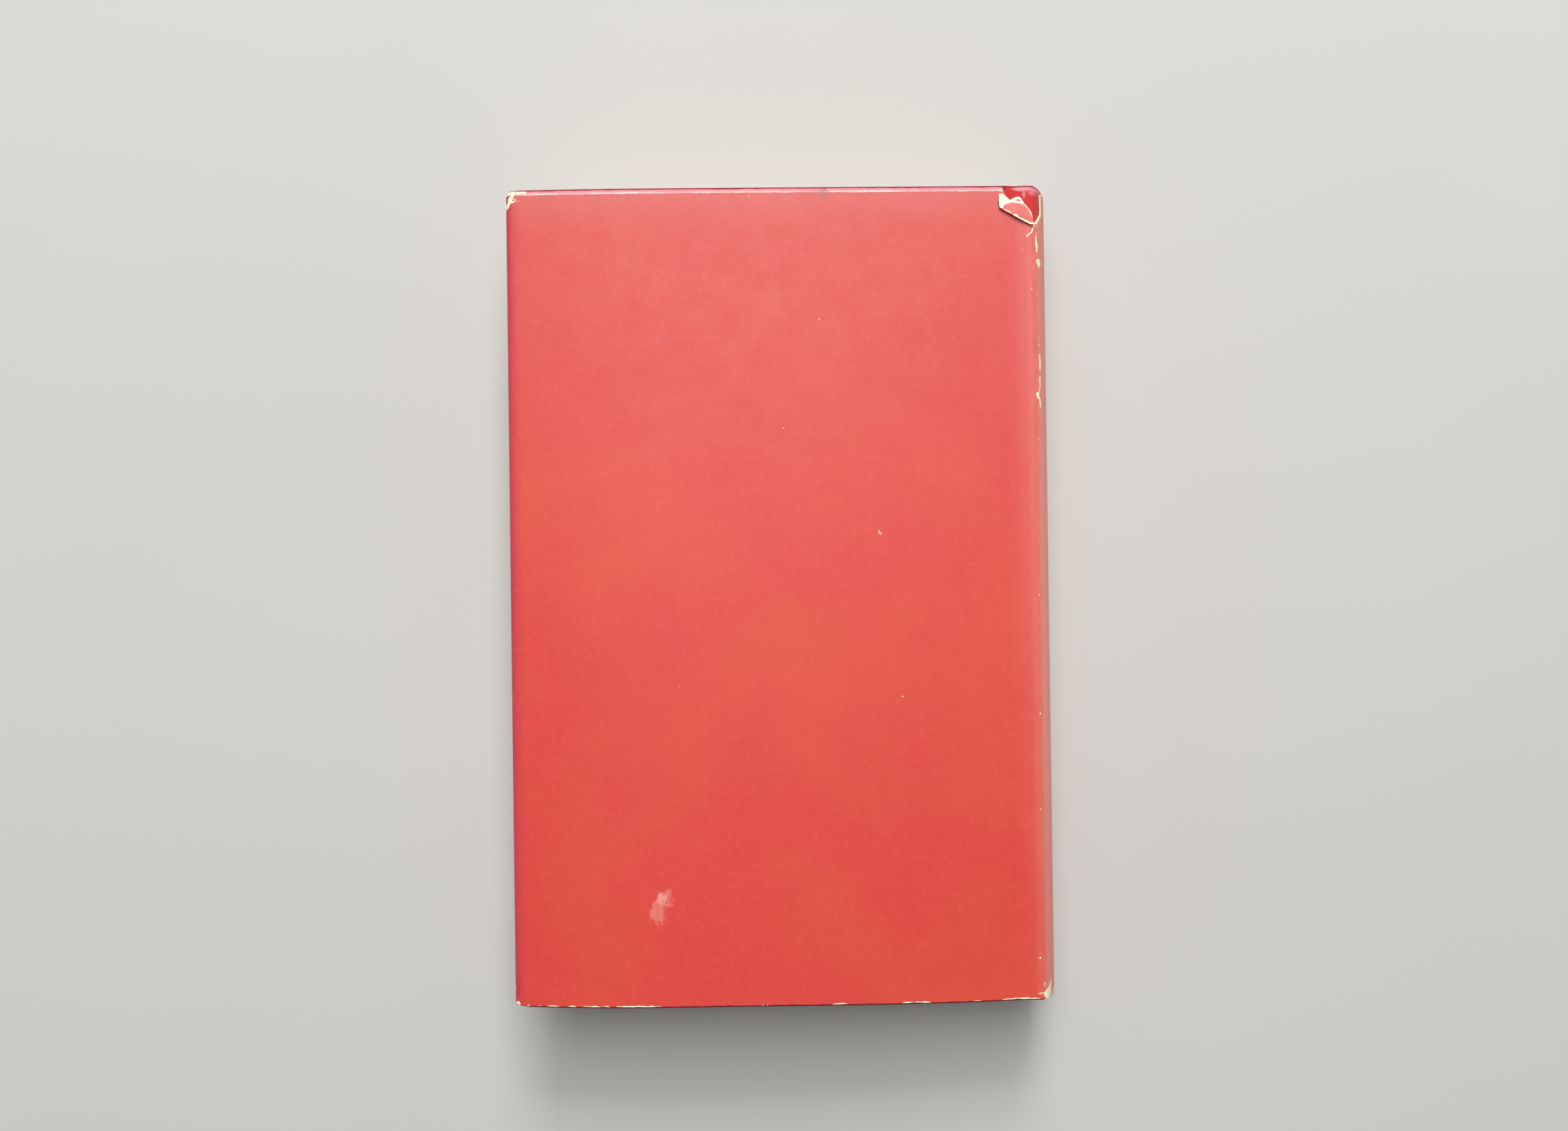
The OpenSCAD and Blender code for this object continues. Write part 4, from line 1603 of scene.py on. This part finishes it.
        places = [np.stack([u, np.full_like(u, along - run[-1] / 2)], 1) for along in run]
        points = np.concatenate(top)
        if side is Side.FRONT:
            points[:, 2] = s.thickness - points[:, 2]
        made = thick_sheet(f"cloth_{side.word}_joint", points, grid_faces(len(u), len(rows)),
                           s.cloth_t, [self.finishes.cloth], np.concatenate(places),
                           side is Side.FRONT)
        bend = (s.joint_x + 0.4, s.split_x + 2.2)
        return fasten(made, side.value, "case_cloth", "spine_cloth", bend=bend)


@dataclass
class Endpapers:
    """The pastedowns and the free leaves."""

    sizes: BookSizes
    finishes: Finishes
    bow: CoverBow
    turn_in: float = 15
    sunk: float = 0.33
    waviness: float = 0.008
    corner_lift: float = 0.7

    def sheet(self, name: str, xs: np.ndarray, height: Heights, side: Side,
              down: bool) -> bpy.types.Object:
        """Makes one leaf of paper.

        Args:
            name: Name of the piece.
            xs: Places of its columns.
            height: Gives the height of the shown face for arrays of X and Y, on the rear side.
            side: The cover.
            down: Whether the shown face looks down on the rear side.

        Returns:
            The object, on no body yet.
        """
        s = self.sizes
        ys = stations((-s.page_y, 1.5), (-s.page_y + 9, 0.7), (-s.page_y + 14, 4),
                      (s.page_y - 14, 0.7), (s.page_y - 9, 1.5), (s.page_y, 1))
        grid_x, grid_y = np.meshgrid(xs, ys)
        z = height(grid_x, grid_y)
        if side is Side.FRONT:
            z = s.thickness - z
        top = np.stack([grid_x, grid_y, z], -1).reshape(-1, 3)
        return thick_sheet(name, top, grid_faces(len(xs), len(ys)), s.paper_t,
                           [self.finishes.endpaper], top[:, :2], down != (side is Side.FRONT))

    def pastedown(self, side: Side) -> bpy.types.Object:
        """Makes the leaf pasted inside a cover, which bends in the groove to the shoulder.

        Args:
            side: The cover.

        Returns:
            The piece.
        """
        s = self.sizes
        turn_x, turn_y = s.cloth_x + self.turn_in, s.case_y - self.turn_in

        def height(x: np.ndarray, y: np.ndarray) -> np.ndarray:
            """Height of the shown face, sunk within the turned-in cloth.

            Args:
                x: Places across.
                y: Places along.

            Returns:
                The height at each place.
            """
            inner = smooth(turn_x - 0.2, turn_x + 1.0, x)
            inner = inner * (1 - smooth(s.joint_x - 1.2, s.joint_x - 0.2, x))
            inner = inner * (1 - smooth(turn_y - 1.0, turn_y + 0.2, np.abs(y)))
            flat = s.thickness - s.paste_d + self.sunk * inner
            flat = flat + self.waviness * ripple(x, y, 6, 2.0)
            bent = s.page_face(x) + s.paper_t + 0.02
            share = smooth(s.joint_x, s.split_x, x)
            bow = self.bow.lift(s, x, y) if side is Side.REAR else 0
            return (flat + bow) * (1 - share) + bent * share

        xs = stations((s.page_x, 1.5), (turn_x - 2, 0.5), (turn_x + 2, 4), (s.joint_x - 3, 0.4),
                      (s.tip_x - 0.1, 1))
        made = self.sheet(f"endpaper_{side.word}_pasted", xs, height, side, True)
        bend = (s.joint_x + 0.2, s.split_x + 2.4)
        return fasten(made, side.value, "endpaper", f"{side.word}_pastedown", bend=bend)

    def free_leaf(self, side: Side) -> bpy.types.Object:
        """Makes the leaf that lies on the pages.

        Args:
            side: The cover.

        Returns:
            The piece, which rides on the block.
        """
        s = self.sizes

        def height(x: np.ndarray, y: np.ndarray) -> np.ndarray:
            """Height of the shown face; its fore-edge corner at the tail lifts a little."""
            lifted = smooth(-20, s.page_x, x) * smooth(30, -s.page_y, y) if side is Side.REAR else 0
            return s.page_face(x) + s.paper_t + self.corner_lift * lifted

        xs = stations((s.page_x + 0.1, 1), (s.page_x + 6, 4), (s.joint_x - 1, 0.5), (s.tip_x, 1))
        made = self.sheet(f"endpaper_{side.word}_free", xs, height, side, False)
        return fasten(made, BLOCK, "endpaper", f"{side.word}_free_endpaper")


@dataclass
class PageBlock:
    """The sewn pages, as a stack of leaf groups whose edges don't quite line up."""

    sizes: BookSizes
    finishes: Finishes
    groups: int = 110
    quire: int = 8
    uneven: float = 0.05
    slip: float = 0.012

    def build(self) -> bpy.types.Object:
        """Makes the stack.

        Returns:
            The piece, which rides on the block.
        """
        s = self.sizes
        draw = np.random.default_rng(11)
        half = s.face_z - s.mid_z
        rise = s.tip_z - s.face_z
        fore_r = math.sqrt(s.block_r**2 - half**2)
        across = np.concatenate([np.linspace(0, 0.04, 4)[:-1], np.linspace(0.04, 0.93, 14)[:-1],
                                 np.linspace(0.93, 1, 12)])
        down = np.linspace(0, 1, 36)[1:-1]
        rings = []
        for group in range(self.groups):
            ragged = self.uneven * draw.random() ** 2
            if group % self.quire == 0:
                ragged += self.uneven
            shift = draw.normal(0, self.slip, 2)
            for level in (group, group + 1):
                t = 2 * level / self.groups - 1
                fore = s.page_x - fore_r + math.sqrt(s.block_r**2 - (t * half) ** 2)
                spine = s.spine_x + math.sqrt(s.block_r**2 - (t * (half + rise)) ** 2)
                x = fore + (spine - fore) * across
                head, tail = s.page_y - ragged + shift[0], -s.page_y + ragged + shift[0]
                side = head + (tail - head) * down
                loop_x = np.concatenate(
                    [x, np.full_like(side, spine), x[::-1], np.full_like(side, fore)])
                loop_y = np.concatenate(
                    [np.full_like(x, head), side, np.full_like(x, tail), side[::-1]])
                wave = 0.02 * np.sin(loop_y / 9 + group * 0.7)
                wave += 0.015 * np.sin(loop_y / 3.1 + group)
                loop_x = loop_x + np.where(loop_x < s.page_x + 4, ragged + shift[1] + wave, 0)
                loop_z = s.mid_z + t * (half + rise * s.flare(loop_x))
                rings.append(np.stack([loop_x, loop_y, loop_z], 1))
        count = len(rings[0])
        points = np.concatenate(rings)
        faces: Faces = []
        for a in range(0, len(points) - count, count):
            b = a + count
            faces.extend((a + i, a + (i + 1) % count, b + (i + 1) % count, b + i)
                         for i in range(count))
        wide, deep = len(across), len(down)
        for base in (0, len(points) - count):
            for i in range(wide - 1):
                strip = [i, i + 1]
                if i == wide - 2:
                    strip += list(range(wide, wide + deep))
                strip += [2 * wide + deep - 2 - i, 2 * wide + deep - 1 - i]
                if i == 0:
                    strip += list(range(2 * wide + deep, count))
                face = tuple(base + j for j in strip)
                faces.append(face[::-1] if base else face)
        faces = [face[::-1] for face in faces]
        made = make_object("page_block", points, faces, [self.finishes.edges], points, sharp=30)
        return fasten(made, BLOCK, "page_paper", "text_block")


@dataclass
class EndBand:
    """A band of thread wound over a core at one end of the spine."""

    sizes: BookSizes
    finishes: Finishes
    bead_r: float = 0.9
    pitch: float = 0.55
    tape: float = 12
    reach: float = 11
    wound: float = 0.14
    tape_lift: float = 0.43

    def build(self, node: str, end: int) -> bpy.types.Object:
        """Makes the band.

        Args:
            node: The model's node that it replaces, and the name of the piece.
            end: 1 for the head and -1 for the tail.

        Returns:
            The piece, which rides on the block.
        """
        s = self.sizes
        sweep = math.asin(self.reach / s.block_r)
        length = 2 * sweep * s.block_r
        per_turn, ring = 6, 16
        steps = int(length / self.pitch) * per_turn
        points, places = [], []
        for share in np.linspace(-1, 1, steps + 1):
            a = share * sweep
            run = share * length / 2
            for k in range(ring):
                b = 2 * math.pi * k / ring
                wind = abs(math.sin(math.pi * (run / self.pitch + b / (2 * math.pi) * 0.5)))
                end_fade = min(1.0, (1 - abs(share)) * 12 + 0.35)
                r = self.bead_r * end_fade * (1 - self.wound + self.wound * wind**0.6)
                radius = s.block_r + r * math.cos(b)
                points.append((s.spine_x + radius * math.cos(a),
                               end * (s.page_y + self.bead_r + r * math.sin(b)),
                               s.mid_z + radius * math.sin(a)))
                places.append((run, b, 0))
        faces: Faces = [(j * ring + k, j * ring + (k + 1) % ring, (j + 1) * ring + (k + 1) % ring,
                         (j + 1) * ring + k) for j in range(steps) for k in range(ring)]
        faces += [tuple(range(ring))[::-1], tuple(steps * ring + k for k in range(ring))]
        if end > 0:
            faces = [face[::-1] for face in faces]
        bead = make_object(f"{node}_bead", np.array(points), faces, [self.finishes.thread],
                           np.array(places))
        return fasten(bead, BLOCK, "band_thread", node)

    def tape_strip(self, name: str, end: int) -> bpy.types.Object:
        """Makes the tape that glues a band to the spine.

        Args:
            name: Name of the piece.
            end: 1 for the head and -1 for the tail.

        Returns:
            The piece, which rides on the block.
        """
        s = self.sizes
        outer_r = s.block_r + self.tape_lift
        turn = np.linspace(1, -1, 31) * math.asin(self.reach / s.block_r)
        rows = np.linspace(s.page_y - self.tape, s.page_y + self.bead_r, 8)
        rows = rows if end > 0 else -rows[::-1]
        a, y = np.meshgrid(turn, rows)
        x, z = s.spine_x + outer_r * np.cos(a), s.mid_z + outer_r * np.sin(a)
        top = np.stack([x, y, z], -1).reshape(-1, 3)
        made = thick_sheet(name, top, grid_faces(len(turn), len(rows)), s.paper_t,
                           [self.finishes.inner], np.stack([a.ravel() * outer_r, y.ravel()], 1))
        return fasten(made, BLOCK, "band_thread")


@dataclass
class InnerPieces:
    """Pieces of the model that keep their own shape: boards, spine card, lining and mull."""

    finishes: Finishes

    def dress(self) -> list[str]:
        """Gives each its finish.

        Returns:
            Their names.
        """
        looks = {
            "back_board": self.finishes.board,
            "front_board": self.finishes.board,
            "spine_inlay": self.finishes.card,
            "spine_liner": self.finishes.kraft,
            "spine_mull": self.finishes.mull,
        }
        for node, finish in looks.items():
            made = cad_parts[node]
            if not made.material_slots:
                made.data.materials.append(finish)
            for slot in made.material_slots:
                slot.material = finish
        return list(looks)


@dataclass(frozen=True)
class Lamp:
    """A square lamp that looks at the middle of the book."""

    name: str
    place: Scale
    size: float
    watts: float
    tint: Scale
    aim_z: float = 20

    def hang(self) -> None:
        """Hangs the lamp."""
        light = bpy.data.lights.new(self.name, "AREA")
        light.size = self.size * MM
        light.energy = self.watts
        light.color = self.tint
        made = bpy.data.objects.new(self.name, light)
        made.location = Vector(self.place) * MM
        aim = Vector((0, 0, self.aim_z)) * MM - made.location
        made.rotation_euler = aim.to_track_quat("-Z", "Y").to_euler()
        bpy.context.scene.collection.objects.link(made)


@dataclass
class Studio:
    """The floor, the lamps and the camera."""

    lens: float = 27.7
    sensor: float = 36.0
    height: float = 351
    ahead: float = 7.7
    roll: float = -0.8
    floor_w: float = 6000
    floor_z: float = -0.3
    room: tuple[float, float, float, float] = (0.95, 0.97, 1.0, 1)
    room_strength: float = 0.2
    lamps: tuple[Lamp, ...] = (Lamp("key_lamp", (120, 2300, 1660), 900, 57, (1.0, 0.985, 0.96)),
                               Lamp("ceiling_panel", (0, 900, 1600), 1250, 29, (1.0, 0.99, 0.97)))

    def lay_floor(self) -> None:
        """Makes the pale floor."""
        half = self.floor_w / 2
        corners = ((-half, -half), (half, -half), (half, half), (-half, half))
        points = np.array([(x, y, self.floor_z) for x, y in corners])
        make_object("floor", points, [(0, 1, 2, 3)], [floor_paint()], points)

    def light(self) -> None:
        """Hangs the lamps and sets the world."""
        for lamp in self.lamps:
            lamp.hang()
        world = bpy.data.worlds.new("room")
        world.use_nodes = True
        background = world.node_tree.nodes["Background"]
        background.inputs["Color"].default_value = self.room
        background.inputs["Strength"].default_value = self.room_strength
        bpy.context.scene.world = world

    def set_camera(self) -> None:
        """Hangs the camera over the book."""
        data = bpy.data.cameras.new("camera")
        data.lens = self.lens
        data.sensor_width = self.sensor
        data.clip_start, data.clip_end = 0.01, 20
        camera = bpy.data.objects.new("camera", data)
        camera.location = Vector((0, self.ahead, self.height)) * MM
        camera.rotation_euler = (0, 0, math.radians(self.roll))
        bpy.context.scene.collection.objects.link(camera)
        bpy.context.scene.camera = camera


def main() -> None:
    """Builds the book and the studio, and reports each piece."""
    logging.basicConfig(level=logging.INFO, format="%(name)s: %(message)s")
    sizes = BookSizes.from_frame()
    bow = CoverBow()
    finishes = Finishes(sizes)
    studio = Studio()
    studio.set_camera()
    studio.lay_floor()
    studio.light()
    jacket = DustJacket(sizes, finishes, bow)
    case = ClothCase(sizes, finishes, bow)
    papers = Endpapers(sizes, finishes, bow)
    band = EndBand(sizes, finishes)
    made = [jacket.tongue(), PageBlock(sizes, finishes).build()]
    for side in Side:
        made += [jacket.build(side), case.board_wrap(side), case.joint_wrap(side)]
        made += [papers.pastedown(side), papers.free_leaf(side)]
    for node, end in (("headband", 1), ("tailband", -1)):
        made += [band.build(node, end), band.tape_strip(f"{node}_tape", end)]
    for piece in made:
        LOG.info("%s: %d faces", piece.name, len(piece.data.polygons))
    for name in InnerPieces(finishes).dress():
        LOG.info("%s: kept from the model", name)
    bpy.context.scene.view_settings.view_transform = "Standard"


if __name__ == "__main__":
    main()
